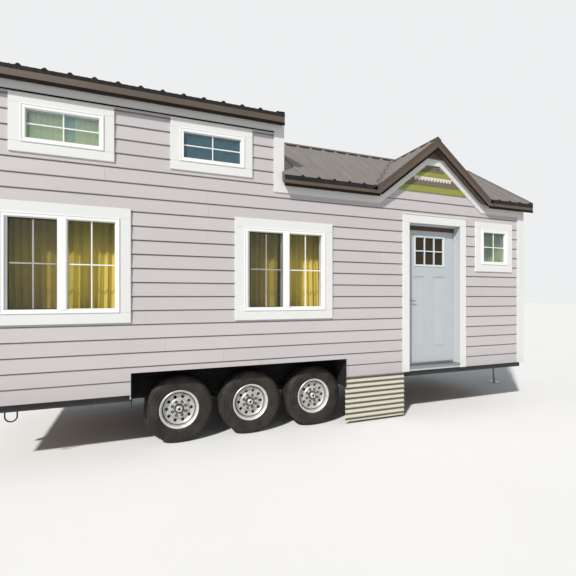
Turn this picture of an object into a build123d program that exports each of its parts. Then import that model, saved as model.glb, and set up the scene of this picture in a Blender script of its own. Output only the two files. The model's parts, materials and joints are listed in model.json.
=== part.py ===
from build123d import *
import math
import os

os.makedirs("parts", exist_ok=True)

# Sizes are in millimetres. X runs along the house, with the hitch at the +X end.
# The door side faces -Y, and Z is up from the ground. "Station" is a distance
# along the house from the outer face of its left end wall.

# House body
body_length = 7385.0
body_width = 2360.0
wall_thickness = 150.0
wall_base_height = 644.0
floor_height = 700.0
room_height = 2060.0
loft_length = 3230.0
loft_floor_thickness = 100.0
loft_wall_rise = 240.0
loft_header_depth = 100.0
sheet_gap = 3.0

# Roofs
low_eave_rise = 330.0
low_roof_rise = 915.0
low_roof_depth = 115.0
loft_eave_drop = 185.0
loft_roof_depth = 120.0
eave_reach = 115.0
end_reach = 120.0
ridge_cap_height = 25.0
ridge_cap_half_width = 70.0
rib_pitch = 220.0
rib_height = 19.0
rib_base_width = 58.0
rib_top_width = 20.0
loft_rib_start = 182.5
low_rib_start = 237.5

# Small gable over the entry
entry_ridge_drop = 127.0
entry_pitch = 0.772
entry_roof_depth = 147.0
entry_station = 5577.0
entry_rib_start = 110.0
entry_cap_half_width = 55.0
entry_cap_height = 22.0
valley_gap = 60.0
peak_panel_height = 134.0
peak_panel_depth = 50.0

# Boards on the outside of the walls
trim_thickness = 25.0
corner_board_width = 108.0
low_frieze_drop = 200.0
loft_frieze_drop = 195.0
rake_board_depth = 135.0
collar_drop = 224.0
casing_width = 110.0

# Windows, by the outside of their frames
lower_window_width = 1067.0
lower_window_height = 1000.0
lower_window_head_drop = 225.0
lower_window_left_station = 856.0
lower_window_right_station = 3282.0
loft_window_width = 742.0
loft_window_height = 377.0
loft_window_sill_rise = 368.5
loft_window_left_station = 867.0
loft_window_right_station = 2378.0
entry_window_width = 540.0
entry_window_height = 540.0
entry_window_head_drop = 19.0
entry_window_station = 6768.0
frame_bar = 42.0
mullion_width = 86.0
frame_depth = 100.0
frame_proud = 8.0
glass_thickness = 20.0
glass_setback = 30.0
upper_casing_width = 100.0

# Entry door
door_width = 914.0
door_height = 2032.0
door_thickness = 45.0
door_gap = 8.0
door_station = 5612.0
door_sill_height = 704.0
jamb_thickness = 18.0
head_casing_width = 120.0
stop_width = 14.0
stop_thickness = 25.0
stop_gap = 5.0
lite_width = 523.0
lite_height = 415.0
lite_top_drop = 161.0
door_panel_width = 227.0
door_panel_spacing = 383.0
door_panel_top_drop = 740.0
door_panel_base_rise = 238.0
door_panel_recess = 8.0
door_glass_thickness = 14.0
hinge_radius = 6.0
hinge_inset = 4.0
hinge_rise = 7.0
hinge_length = 100.0
hinge_plate = 3.0
hinge_plate_width = 40.0
hinge_end_offset = 180.0
handle_rise = 928.0
handle_edge_distance = 65.0
handle_plate_radius = 32.0
handle_plate_thickness = 10.0
handle_neck_radius = 11.0
handle_reach = 55.0
lever_length = 115.0
lever_thickness = 16.0
deadbolt_rise = 140.0

# Curtains
curtain_depth = 50.0
curtain_wall_gap = 45.0
curtain_drop = 1190.0
curtain_overlap = 60.0
loft_curtain_drop = 470.0
rod_radius = 9.0
rod_above_window = 70.0
rod_bracket_size = 24.0
seat_gap = 0.3

# Trailer frame
rail_depth = 152.0
rail_width = 50.0
rail_web = 8.0
rail_outer_half_width = 735.0
cross_member_depth = 76.0
cross_member_width = 50.0
cross_member_count = 13
side_rail_inset = 30.0
outrigger_spacing_limit = 900.0
tie_ring_station = 402.0
tie_ring_width = 118.0
tie_ring_drop = 100.0
tie_ring_rod = 14.0

# Hitch
tongue_reach = 1300.0
tongue_rail_depth = 127.0
tongue_rail_width = 55.0
tongue_rail_top = 627.0
tongue_tip_half_gap = 45.0
tongue_foot_half_gap = 560.0
coupler_length = 300.0
coupler_width = 96.0
coupler_height = 110.0
ball_socket_radius = 29.9
ball_socket_depth = 34.0
jack_distance_from_tip = 520.0
jack_tube_radius = 30.0
jack_leg_radius = 24.0
jack_top_height = 960.0
jack_tube_base_height = 230.0
jack_foot_size = 180.0
jack_foot_thickness = 12.0
jack_bracket_width = 90.0
jack_bracket_thickness = 10.0
jack_crank_length = 170.0
jack_crank_radius = 8.0

# Wheels and running gear
tyre_diameter = 782.0
tyre_width = 235.0
tyre_shoulder_radius = 34.0
rim_diameter = 406.0
rim_flange_diameter = 452.0
rim_wall = 8.0
wheel_track = 1855.0
axle_spacing = 858.0
middle_axle_station = 2878.0
rim_disc_setback = 52.0
rim_disc_thickness = 10.0
rim_vent_count = 10
rim_vent_diameter = 30.0
rim_vent_circle = 282.0
rim_hub_radius = 62.0
rim_hub_length = 118.0
hub_cap_radius = 38.0
hub_cap_reach = 42.0
lug_count = 8
lug_circle = 165.1
lug_radius = 11.0
lug_reach = 22.0
spindle_radius = 26.0
spindle_gap = 0.3
spindle_length_in_hub = 90.0
axle_tube_radius = 38.0
spring_width = 45.0
spring_thickness = 26.0
spring_span = 760.0
hanger_length = 60.0

# Wheel wells and skirting
well_station = 1500.0
well_length = 2642.0
well_height = 880.0
well_plate = 5.0
well_base_height = 500.0
skirt_length = 948.0
skirt_base_height = 30.0
skirt_wave = 67.7
skirt_wave_depth = 12.7
skirt_sheet = 1.2

# Places worked out from the sizes
overall_length = end_reach + body_length + tongue_reach
body_left = end_reach - overall_length / 2
body_right = body_left + body_length
loft_floor_base_height = floor_height + room_height
loft_floor_height = loft_floor_base_height + loft_floor_thickness
loft_wall_base_height = loft_floor_height + loft_wall_rise
low_eave_height = loft_floor_height + low_eave_rise
ridge_height = low_eave_height + low_roof_rise
loft_eave_height = ridge_height - loft_eave_drop
entry_ridge_height = ridge_height - entry_ridge_drop
entry_under_height = entry_ridge_height - entry_roof_depth
low_frieze_base_height = low_eave_height - low_frieze_drop
loft_frieze_base_height = loft_eave_height - loft_frieze_drop
collar_base_height = entry_under_height - collar_drop
half_width = body_width / 2
inner_half_width = half_width - wall_thickness
eave_half_width = half_width + eave_reach
low_pitch = (ridge_height - low_eave_height) / eave_half_width
loft_pitch = (ridge_height - loft_eave_height) / eave_half_width
trim_face = half_width + trim_thickness
clear_width = door_width + 2 * door_gap
clear_head_height = door_sill_height + door_gap + door_height + door_gap
rough_half_width = clear_width / 2 + jamb_thickness
wheel_centre_height = tyre_diameter / 2
lower_window_stations = [lower_window_left_station, lower_window_right_station]
loft_window_stations = [loft_window_left_station, loft_window_right_station]
lower_window_height_at_middle = (
    loft_floor_base_height - lower_window_head_drop - lower_window_height / 2
)
loft_window_height_at_middle = (
    loft_floor_height + loft_window_sill_rise + loft_window_height / 2
)
entry_window_height_at_middle = (
    loft_floor_base_height - entry_window_head_drop - entry_window_height / 2
)
well_end_station = well_station + well_length


def at(station):
    """X of a distance along the house from its left end."""
    return body_left + station


def block(x0, x1, y0, y1, z0, z1):
    """A box between two corners."""
    size = Box(x1 - x0, y1 - y0, z1 - z0)
    return Pos((x0 + x1) / 2, (y0 + y1) / 2, (z0 + z1) / 2) * size


def along_x(points, x0, x1):
    """A straight bar along X with a cross section of (y, z) points."""
    plane = Plane(origin=(x0, 0, 0), x_dir=(0, 1, 0), z_dir=(1, 0, 0))
    face = make_face(plane * Polyline(*points, close=True))
    return extrude(face, amount=x1 - x0, dir=(1, 0, 0))


def along_y(points, y0, y1):
    """A straight bar along Y with a cross section of (x, z) points."""
    plane = Plane(origin=(0, y0, 0), x_dir=(1, 0, 0), z_dir=(0, -1, 0))
    face = make_face(plane * Polyline(*points, close=True))
    return extrude(face, amount=y1 - y0, dir=(0, 1, 0))


def rod_y(x, y0, y1, z, radius):
    """A round bar along Y."""
    return Pos(x, (y0 + y1) / 2, z) * Rot(90, 0, 0) * Cylinder(radius, y1 - y0)


def rod_x(x0, x1, y, z, radius):
    """A round bar along X."""
    return Pos((x0 + x1) / 2, y, z) * Rot(0, 90, 0) * Cylinder(radius, x1 - x0)


def rod_z(x, y, z0, z1, radius):
    """An upright round bar."""
    return Pos(x, y, (z0 + z1) / 2) * Cylinder(radius, z1 - z0)


def to_back(shape):
    """The same piece on the back of the house."""
    return mirror(shape, about=Plane.XZ)


def group(shapes):
    """Pieces that share a node, each as a solid of its own."""
    solids = []
    for shape in shapes:
        solids += shape.solids()
    return Compound(children=solids)


def low_top(y):
    return ridge_height - abs(y) * low_pitch


def low_under(y):
    return low_top(y) - low_roof_depth


def loft_top(y):
    return ridge_height - abs(y) * loft_pitch


def loft_under(y):
    return loft_top(y) - loft_roof_depth


# Entry gable outlines
entry_x = at(entry_station)


def gable_outline(peak_height, base_height):
    """The triangle under the entry gable's slopes, as (x, z) points."""
    half = (peak_height - base_height) / entry_pitch
    return [
        (entry_x - half, base_height),
        (entry_x + half, base_height),
        (entry_x, peak_height),
    ]


wall_top_height = low_under(half_width)
gable_outside = along_y(
    gable_outline(entry_ridge_height, wall_base_height),
    -eave_half_width,
    0,
)
gable_inside = along_y(
    gable_outline(entry_under_height, wall_base_height),
    -eave_half_width,
    0,
)
gable_triangle = along_y(
    gable_outline(entry_under_height, wall_top_height),
    -half_width,
    -inner_half_width,
)


# Walls
def window_hole(station, middle_height, width, height):
    """The hole in the front wall that a window's frame fills."""
    x = at(station)
    return block(
        x - width / 2,
        x + width / 2,
        -half_width,
        -inner_half_width,
        middle_height - height / 2,
        middle_height + height / 2,
    )


lower_window_holes = [
    window_hole(
        station,
        lower_window_height_at_middle,
        lower_window_width,
        lower_window_height,
    )
    for station in lower_window_stations
]
loft_window_holes = [
    window_hole(
        station,
        loft_window_height_at_middle,
        loft_window_width,
        loft_window_height,
    )
    for station in loft_window_stations
]
entry_window_hole = window_hole(
    entry_window_station,
    entry_window_height_at_middle,
    entry_window_width,
    entry_window_height,
)


def low_wall(station0, station1, base_height):
    """A length of front wall that meets the low roof's underside."""
    outline = [
        (-half_width, base_height),
        (-half_width, low_under(half_width)),
        (-inner_half_width, low_under(inner_half_width)),
        (-inner_half_width, base_height),
    ]
    return along_x(outline, at(station0), at(station1))


def storey_wall(right_station, window_holes):
    """The main wall above the wheel well, from the left end to a station."""
    under_loft = block(
        at(wall_thickness),
        at(loft_length),
        -half_width,
        -inner_half_width,
        well_height,
        loft_wall_base_height,
    )
    wall = under_loft + low_wall(loft_length, right_station, well_height)
    for hole in window_holes:
        wall = wall - hole
    return wall


def loft_wall():
    outline = [
        (-half_width, loft_wall_base_height),
        (-half_width, loft_under(half_width)),
        (-inner_half_width, loft_under(inner_half_width)),
        (-inner_half_width, loft_wall_base_height),
    ]
    wall = along_x(outline, at(wall_thickness), at(loft_length))
    for hole in loft_window_holes:
        wall = wall - hole
    return wall


def wall_foot(station0, station1):
    """The wall beside a wheel well, from the siding's lower edge up."""
    return block(
        at(station0),
        at(station1),
        -half_width,
        -inner_half_width,
        wall_base_height,
        well_height,
    )


rough_left = door_station - rough_half_width
rough_right = door_station + rough_half_width
inner_right = body_length - wall_thickness

front_wall = storey_wall(rough_left, lower_window_holes) - gable_triangle
front_wall_right = (
    low_wall(rough_right, inner_right, wall_base_height)
    - entry_window_hole
    - gable_triangle
)
front_gable_wall = gable_triangle + block(
    at(rough_left),
    at(rough_right),
    -half_width,
    -inner_half_width,
    clear_head_height + jamb_thickness,
    wall_top_height,
)
loft_walls = group([loft_wall(), to_back(loft_wall())])
back_wall = to_back(storey_wall(inner_right, lower_window_holes))
wall_feet = group(
    [
        wall_foot(wall_thickness, well_station),
        wall_foot(well_end_station, rough_left),
        to_back(wall_foot(wall_thickness, well_station)),
        to_back(wall_foot(well_end_station, inner_right)),
    ]
)
left_end_wall = along_x(
    [
        (-half_width, wall_base_height),
        (half_width, wall_base_height),
        (half_width, loft_under(half_width)),
        (0, loft_under(0)),
        (-half_width, loft_under(half_width)),
    ],
    at(0),
    at(wall_thickness),
)
right_end_wall = along_x(
    [
        (-half_width, wall_base_height),
        (half_width, wall_base_height),
        (half_width, low_under(half_width)),
        (0, low_under(0)),
        (-half_width, low_under(half_width)),
    ],
    at(inner_right),
    at(body_length),
)
end_walls = group([left_end_wall, right_end_wall])
loft_side_wall = along_x(
    [
        (-inner_half_width, low_under(inner_half_width) - loft_header_depth),
        (0, low_under(0) - loft_header_depth),
        (inner_half_width, low_under(inner_half_width) - loft_header_depth),
        (inner_half_width, loft_under(inner_half_width)),
        (0, loft_under(0)),
        (-inner_half_width, loft_under(inner_half_width)),
    ],
    at(loft_length - wall_thickness),
    at(loft_length),
)


# Floors
def side_floor(station0, station1):
    """A floor sheet between a main rail's line and the front wall."""
    return block(
        at(station0),
        at(station1),
        -inner_half_width,
        -rail_outer_half_width - sheet_gap,
        wall_base_height,
        floor_height,
    )


side_floors = [
    side_floor(wall_thickness, well_station),
    side_floor(well_end_station, inner_right),
]
main_floor = group(
    [
        block(
            at(wall_thickness),
            at(inner_right),
            -rail_outer_half_width,
            rail_outer_half_width,
            wall_base_height,
            floor_height,
        )
    ]
    + side_floors
    + [to_back(sheet) for sheet in side_floors]
)
loft_floor = block(
    at(wall_thickness),
    at(loft_length - wall_thickness),
    -inner_half_width,
    inner_half_width,
    loft_floor_base_height,
    loft_floor_height,
)


# Roofs
def front_slope(pitch_top, pitch_under, x0, x1):
    """One slope of a roof from the front eave to the ridge."""
    outline = [
        (-eave_half_width, pitch_under(eave_half_width)),
        (-eave_half_width, pitch_top(eave_half_width)),
        (0, pitch_top(0)),
        (0, pitch_under(0)),
    ]
    return along_x(outline, x0, x1)


loft_roof_front = front_slope(
    loft_top, loft_under, body_left - end_reach, at(loft_length)
)
low_slope = front_slope(
    low_top, low_under, at(loft_length), body_right + end_reach
)
low_roof_front = low_slope - gable_outside
loft_roof_back = to_back(loft_roof_front)
low_roof_back = to_back(low_slope)



def ridge_cap(pitch_top, x0, x1):
    """The folded cap over a ridge, resting on both slopes."""
    edge = ridge_cap_half_width
    outline = [
        (-edge, pitch_top(edge)),
        (0, pitch_top(0)),
        (edge, pitch_top(edge)),
        (edge, pitch_top(edge) + ridge_cap_height),
        (0, pitch_top(0) + ridge_cap_height),
        (-edge, pitch_top(edge) + ridge_cap_height),
    ]
    return along_x(outline, x0, x1)


def entry_top(x):
    return entry_ridge_height - abs(x - entry_x) * entry_pitch


valley_top_depth = (ridge_height - entry_ridge_height) / low_pitch
cap_edge = entry_cap_half_width
entry_cap = along_y(
    [
        (entry_x - cap_edge, entry_top(entry_x - cap_edge)),
        (entry_x, entry_ridge_height),
        (entry_x + cap_edge, entry_top(entry_x + cap_edge)),
        (entry_x + cap_edge, entry_top(entry_x + cap_edge) + entry_cap_height),
        (entry_x, entry_ridge_height + entry_cap_height),
        (entry_x - cap_edge, entry_top(entry_x - cap_edge) + entry_cap_height),
    ],
    -eave_half_width,
    -valley_top_depth,
)
ridge_caps = group(
    [
        ridge_cap(loft_top, body_left - end_reach, at(loft_length)),
        ridge_cap(
            low_top, at(loft_length) + sheet_gap, body_right + end_reach
        ),
        entry_cap - low_slope,
    ]
)

above_low_underside = along_x(
    [
        (-eave_half_width, low_under(eave_half_width)),
        (0, low_under(0)),
        (0, ridge_height + eave_reach),
        (-eave_half_width, ridge_height + eave_reach),
    ],
    at(loft_length),
    body_right + end_reach,
)
peak_panel = along_y(
    gable_outline(entry_under_height, entry_under_height - peak_panel_height),
    -half_width - peak_panel_depth,
    -half_width,
)
entry_roof = ((gable_outside - gable_inside) & above_low_underside) + peak_panel


# Ribs of the roof sheets
def rib_places(start, end, first):
    """Middles of the ribs on a roof that runs from start to end."""
    reach = end - start - first - rib_base_width / 2
    count = int(reach // rib_pitch) + 1
    return [start + first + index * rib_pitch for index in range(count)]


def rib_section(middle, level):
    """Cross section of a rib, as points across it and their heights."""
    return [
        (middle - rib_base_width / 2, level),
        (middle - rib_top_width / 2, level + rib_height),
        (middle + rib_top_width / 2, level + rib_height),
        (middle + rib_base_width / 2, level),
    ]


def slope_rib(pitch_top, x):
    """A rib up the front slope, from the eave to the ridge cap."""
    y0 = -eave_half_width
    y1 = -ridge_cap_half_width
    points = [(u, y0, z) for u, z in rib_section(x, pitch_top(y0))]
    face = make_face(Polyline(*points, close=True))
    run = Vector(0, y1 - y0, pitch_top(y1) - pitch_top(y0))
    return extrude(face, amount=run.length, dir=run)


def entry_rib(y, side):
    """A rib up one slope of the entry gable, from its foot to its cap."""
    x0 = entry_x + side * (entry_ridge_height - low_eave_height) / entry_pitch
    x1 = entry_x + side * entry_cap_half_width
    points = [(x0, u, z) for u, z in rib_section(y, entry_top(x0))]
    face = make_face(Polyline(*points, close=True))
    run = Vector(x1 - x0, 0, entry_top(x1) - entry_top(x0))
    return extrude(face, amount=run.length, dir=run)


def valley_plan(gap):
    """The entry gable seen from above, out to its valleys and a gap beyond."""
    spread = low_pitch / entry_pitch
    front = eave_half_width + eave_reach
    half = (front - valley_top_depth) * spread + gap
    outline = [
        (entry_x - half, -front),
        (entry_x + half, -front),
        (entry_x, gap / spread - valley_top_depth),
    ]
    face = make_face(Polyline(*outline, close=True))
    return extrude(face, amount=overall_length, dir=(0, 0, 1))


loft_ribs = [
    slope_rib(loft_top, x)
    for x in rib_places(body_left - end_reach, at(loft_length), loft_rib_start)
]
low_ribs = [
    slope_rib(low_top, x)
    for x in rib_places(at(loft_length), body_right + end_reach, low_rib_start)
]
beyond_valleys = valley_plan(valley_gap)
within_valleys = valley_plan(-valley_gap)
entry_ribs = [
    entry_rib(y, side) & within_valleys
    for y in rib_places(-eave_half_width, -valley_top_depth, entry_rib_start)
    for side in (-1, 1)
]
roof_ribs = group(
    loft_ribs
    + [to_back(rib) for rib in loft_ribs + low_ribs]
    + [rib - beyond_valleys for rib in low_ribs]
    + entry_ribs
)


# White boards on the corners and under the roofs
def corner_post(x_outer, direction, base_height, top_height):
    """Two boards that wrap a front corner; direction points away from it."""
    x_face = x_outer + direction * corner_board_width
    x_out = x_outer - direction * trim_thickness
    front = block(
        min(x_out, x_face),
        max(x_out, x_face),
        -trim_face,
        -half_width,
        base_height,
        top_height,
    )
    side = block(
        min(x_out, x_outer),
        max(x_out, x_outer),
        -half_width,
        -half_width + corner_board_width,
        base_height,
        top_height,
    )
    return front + side


def frieze(base_height, under, x0, x1):
    """A board under the front eave that meets the roof's underside."""
    outline = [
        (-trim_face, base_height),
        (-trim_face, under(trim_face)),
        (-half_width, under(half_width)),
        (-half_width, base_height),
    ]
    return along_x(outline, x0, x1)


rake_board_outer = gable_outline(entry_under_height, low_frieze_base_height)
rake_board_inner = gable_outline(
    entry_under_height - rake_board_depth,
    low_frieze_base_height,
)
below_collar = block(
    at(loft_length),
    body_right,
    -trim_face,
    -half_width,
    low_frieze_base_height,
    collar_base_height,
)
rake_boards = (
    along_y(rake_board_outer, -trim_face, -half_width)
    - (along_y(rake_board_inner, -trim_face, -half_width) & below_collar)
    - peak_panel
)
low_frieze = frieze(
    low_frieze_base_height, low_under, at(loft_length), body_right
)
front_low_frieze = low_frieze - along_y(
    rake_board_outer, -trim_face, -half_width
)
loft_frieze = frieze(
    loft_frieze_base_height, loft_under, body_left, at(loft_length)
)
left_corner = corner_post(
    body_left, 1, wall_base_height, loft_under(trim_face)
)
right_corner = corner_post(
    body_right, -1, wall_base_height, low_under(trim_face)
)
loft_corner = (
    corner_post(
        at(loft_length), -1, low_frieze_base_height, loft_under(trim_face)
    )
    - low_slope
    - front_wall
)
back_trim = to_back(
    left_corner + right_corner + loft_corner + low_frieze + loft_frieze
)
trim_boards = group(
    [
        left_corner
        + right_corner
        + loft_corner
        + front_low_frieze
        + loft_frieze
        + rake_boards,
        back_trim,
    ]
)


# Windows
def window_frame(station, middle_height, width, height, casing, has_mullion):
    """A window's frame and outside casing in the front wall."""
    x = at(station)
    half = width / 2
    low = middle_height - height / 2
    high = middle_height + height / 2
    face = -trim_face - frame_proud
    board = block(
        x - half - casing,
        x + half + casing,
        -trim_face,
        -half_width,
        low - casing,
        high + casing,
    )
    bars = block(x - half, x + half, face, face + frame_depth, low, high)
    view = block(
        x - half + frame_bar,
        x + half - frame_bar,
        face,
        face + frame_depth,
        low + frame_bar,
        high - frame_bar,
    )
    frame = board + bars - view
    if has_mullion:
        frame = frame + block(
            x - mullion_width / 2,
            x + mullion_width / 2,
            face,
            face + frame_depth,
            low + frame_bar,
            high - frame_bar,
        )
    return frame


def window_panes(station, middle_height, width, height, has_mullion):
    """The glass between a window's bars, one box for each pane."""
    x = at(station)
    low = middle_height - height / 2 + frame_bar
    high = middle_height + height / 2 - frame_bar
    y0 = -trim_face - frame_proud + glass_setback
    y1 = y0 + glass_thickness
    left = x - width / 2 + frame_bar
    right = x + width / 2 - frame_bar
    if has_mullion:
        edges = [
            (left, x - mullion_width / 2),
            (x + mullion_width / 2, right),
        ]
    else:
        edges = [(left, right)]
    return [block(x0, x1, y0, y1, low, high) for x0, x1 in edges]


lower_window_frames = []
lower_window_glass = []
for station in lower_window_stations:
    lower_window_frames.append(
        window_frame(
            station,
            lower_window_height_at_middle,
            lower_window_width,
            lower_window_height,
            casing_width,
            True,
        )
    )
    lower_window_glass += window_panes(
        station,
        lower_window_height_at_middle,
        lower_window_width,
        lower_window_height,
        True,
    )

loft_window_frames = []
loft_window_glass = []
for station in loft_window_stations:
    loft_window_frames.append(
        window_frame(
            station,
            loft_window_height_at_middle,
            loft_window_width,
            loft_window_height,
            upper_casing_width,
            False,
        )
    )
    loft_window_glass += window_panes(
        station,
        loft_window_height_at_middle,
        loft_window_width,
        loft_window_height,
        False,
    )

entry_window_frame = window_frame(
    entry_window_station,
    entry_window_height_at_middle,
    entry_window_width,
    entry_window_height,
    casing_width,
    False,
)
entry_window_glass = window_panes(
    entry_window_station,
    entry_window_height_at_middle,
    entry_window_width,
    entry_window_height,
    False,
)

plain_frames = lower_window_frames + loft_window_frames
plain_glass = lower_window_glass + loft_window_glass
front_windows = group(plain_frames + [entry_window_frame])
back_windows = group([to_back(frame) for frame in plain_frames])
window_glass = group(
    plain_glass
    + entry_window_glass
    + [to_back(pane) for pane in plain_glass]
)

# Entry door frame
door_x = at(door_station)
clear_left_x = door_x - clear_width / 2
clear_right_x = door_x + clear_width / 2
door_left_x = door_x - door_width / 2
door_right_x = door_x + door_width / 2
door_base_height = door_sill_height + door_gap
door_top_height = door_base_height + door_height
door_face = -inner_half_width - door_thickness
stop_face = door_face - stop_gap - stop_thickness
lite_top_height = door_top_height - lite_top_drop
door_panel_top_height = door_top_height - door_panel_top_drop
door_panel_base_height = door_base_height + door_panel_base_rise
handle_height = door_base_height + handle_rise

jambs = block(
    clear_left_x - jamb_thickness,
    clear_right_x + jamb_thickness,
    -half_width,
    -inner_half_width,
    wall_base_height,
    clear_head_height + jamb_thickness,
) - block(
    clear_left_x,
    clear_right_x,
    -half_width,
    -inner_half_width,
    door_sill_height,
    clear_head_height,
)
stops = block(
    clear_left_x,
    clear_right_x,
    stop_face,
    stop_face + stop_thickness,
    door_sill_height,
    clear_head_height,
) - block(
    clear_left_x + stop_width,
    clear_right_x - stop_width,
    stop_face,
    stop_face + stop_thickness,
    door_sill_height,
    clear_head_height - stop_width,
)
door_casing = block(
    clear_left_x - casing_width,
    clear_right_x + casing_width,
    -trim_face,
    -half_width,
    wall_base_height,
    clear_head_height + head_casing_width,
) - block(
    clear_left_x,
    clear_right_x,
    -trim_face,
    -half_width,
    wall_base_height,
    clear_head_height,
)
door_frame = jambs + stops + door_casing

# Door leaf, closed, with six lights over two panels
lite_hole = block(
    door_x - lite_width / 2,
    door_x + lite_width / 2,
    door_face,
    -inner_half_width,
    lite_top_height - lite_height,
    lite_top_height,
)
door_leaf = block(
    door_left_x,
    door_right_x,
    door_face,
    -inner_half_width,
    door_base_height,
    door_top_height,
)
door_leaf = door_leaf - lite_hole
for side in (-1, 1):
    panel_x = door_x + side * door_panel_spacing / 2
    door_leaf = door_leaf - block(
        panel_x - door_panel_width / 2,
        panel_x + door_panel_width / 2,
        door_face,
        door_face + door_panel_recess,
        door_panel_base_height,
        door_panel_top_height,
    )
glass_middle = door_face + door_thickness / 2
door_glass = block(
    door_x - lite_width / 2,
    door_x + lite_width / 2,
    glass_middle - door_glass_thickness / 2,
    glass_middle + door_glass_thickness / 2,
    lite_top_height - lite_height,
    lite_top_height,
)

# Hinges inside the house at the door's right edge
hinge_x = door_right_x + hinge_inset
hinge_y = -inner_half_width + hinge_rise
hinge_middles = [
    door_base_height + hinge_end_offset,
    door_base_height + door_height / 2,
    door_top_height - hinge_end_offset,
]


def hinge_half(middle, is_upper):
    """One barrel half and its plate: lower on the frame, upper on the door."""
    if is_upper:
        z0 = middle + seat_gap
        z1 = middle + hinge_length / 2
        plate_x0 = hinge_x - hinge_plate_width
        plate_x1 = hinge_x
    else:
        z0 = middle - hinge_length / 2
        z1 = middle
        plate_x0 = hinge_x
        plate_x1 = hinge_x + hinge_plate_width
    plate = block(
        plate_x0,
        plate_x1,
        -inner_half_width,
        -inner_half_width + hinge_plate,
        z0,
        z1,
    )
    return rod_z(hinge_x, hinge_y, z0, z1, hinge_radius) + plate


door_hinges = group([hinge_half(middle, False) for middle in hinge_middles])


# Lever handle and deadbolt near the door's left edge
def handle_side(y_face, direction):
    """A lever on one face of the door; direction points away from it."""
    x = door_left_x + handle_edge_distance
    y_plate = y_face + direction * handle_plate_thickness
    y_end = y_face + direction * handle_reach
    y_lever = y_end - direction * lever_thickness
    plate = rod_y(
        x,
        min(y_face, y_plate),
        max(y_face, y_plate),
        handle_height,
        handle_plate_radius,
    )
    neck = rod_y(
        x,
        min(y_face, y_end),
        max(y_face, y_end),
        handle_height,
        handle_neck_radius,
    )
    lever = block(
        x,
        x + lever_length,
        min(y_lever, y_end),
        max(y_lever, y_end),
        handle_height - handle_neck_radius,
        handle_height + handle_neck_radius,
    )
    bolt = rod_y(
        x,
        min(y_face, y_plate),
        max(y_face, y_plate),
        handle_height + deadbolt_rise,
        handle_plate_radius,
    )
    return [plate + neck + lever, bolt]


door_hardware = group(
    handle_side(door_face, -1)
    + handle_side(-inner_half_width, 1)
    + [hinge_half(middle, True) for middle in hinge_middles]
)


# Curtains on rods inside the windows
def curtain_pair(station, width, rod_height, drop):
    """Two flat curtain panels that hang under a rod."""
    x = at(station)
    half = width / 2 + curtain_overlap
    top = rod_height - rod_radius - seat_gap
    y0 = -inner_half_width + curtain_wall_gap
    edges = [(x - half, x - sheet_gap), (x + sheet_gap, x + half)]
    return [
        block(x0, x1, y0, y0 + curtain_depth, top - drop, top)
        for x0, x1 in edges
    ]


def curtain_rod(station, width, rod_height):
    """A rod on two brackets that stand on the wall's inner face."""
    x = at(station)
    half = width / 2 + curtain_overlap + rod_bracket_size
    y = -inner_half_width + curtain_wall_gap + curtain_depth / 2
    rod = rod_x(x - half, x + half, y, rod_height, rod_radius)
    for side in (-1, 1):
        bracket_x = x + side * (half - rod_bracket_size / 2)
        rod = rod + block(
            bracket_x - rod_bracket_size / 2,
            bracket_x + rod_bracket_size / 2,
            -inner_half_width,
            y + rod_bracket_size / 2,
            rod_height - rod_bracket_size / 2,
            rod_height + rod_bracket_size / 2,
        )
    return rod


lower_rod_height = (
    lower_window_height_at_middle + lower_window_height / 2 + rod_above_window
)
loft_rod_height = (
    loft_window_height_at_middle + loft_window_height / 2 + rod_above_window
)
lower_curtain_panels = []
rods = []
for station in lower_window_stations:
    lower_curtain_panels += curtain_pair(
        station, lower_window_width, lower_rod_height, curtain_drop
    )
    rods.append(curtain_rod(station, lower_window_width, lower_rod_height))
loft_curtain_station = loft_window_stations[0]
loft_curtain_panels = curtain_pair(
    loft_curtain_station, loft_window_width, loft_rod_height, loft_curtain_drop
)
rods.append(
    curtain_rod(loft_curtain_station, loft_window_width, loft_rod_height)
)
curtains = group(lower_curtain_panels + loft_curtain_panels)
curtain_rods = group(rods)


# Trailer frame
def main_rail():
    """The front main rail, a channel that opens outwards."""
    outer = -rail_outer_half_width
    inner = outer + rail_width
    top = wall_base_height
    bottom = top - rail_depth
    web = block(body_left, body_right, inner - rail_web, inner, bottom, top)
    upper = block(body_left, body_right, outer, inner, top - rail_web, top)
    lower = block(
        body_left, body_right, outer, inner, bottom, bottom + rail_web
    )
    return web + upper + lower


side_rail_face = half_width - side_rail_inset
cross_member_base = wall_base_height - cross_member_depth
rail_inner_half_width = rail_outer_half_width - rail_width
frame_bays = [(0, well_station), (well_end_station, body_length)]


def cross_bar(x0, y0, y1):
    """One bar across the frame, level with the tops of the rails."""
    return block(
        x0,
        x0 + cross_member_width,
        y0,
        y1,
        cross_member_base,
        wall_base_height,
    )


def side_rail(station0, station1):
    """The rail under the front wall on one side of the wheel well."""
    return block(
        at(station0),
        at(station1),
        -side_rail_face,
        -side_rail_face + cross_member_width,
        cross_member_base,
        wall_base_height,
    )


def outrigger_arms(station0, station1):
    """The bars that carry a side rail from the front main rail."""
    length = station1 - station0 - cross_member_width
    gap_count = math.ceil(length / outrigger_spacing_limit)
    return [
        cross_bar(
            at(station0) + index * length / gap_count,
            -side_rail_face + cross_member_width,
            -rail_outer_half_width,
        )
        for index in range(gap_count + 1)
    ]


front_rails = [main_rail()]
front_arms = []
for bay in frame_bays:
    front_rails.append(side_rail(*bay))
    front_arms += outrigger_arms(*bay)
frame_rails = group(front_rails + [to_back(rail) for rail in front_rails])

cross_pitch = (body_length - cross_member_width) / (cross_member_count - 1)
cross_bars = [
    cross_bar(
        body_left + index * cross_pitch,
        -rail_inner_half_width,
        rail_inner_half_width,
    )
    for index in range(cross_member_count)
]
cross_members = group(
    cross_bars + front_arms + [to_back(arm) for arm in front_arms]
)


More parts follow.
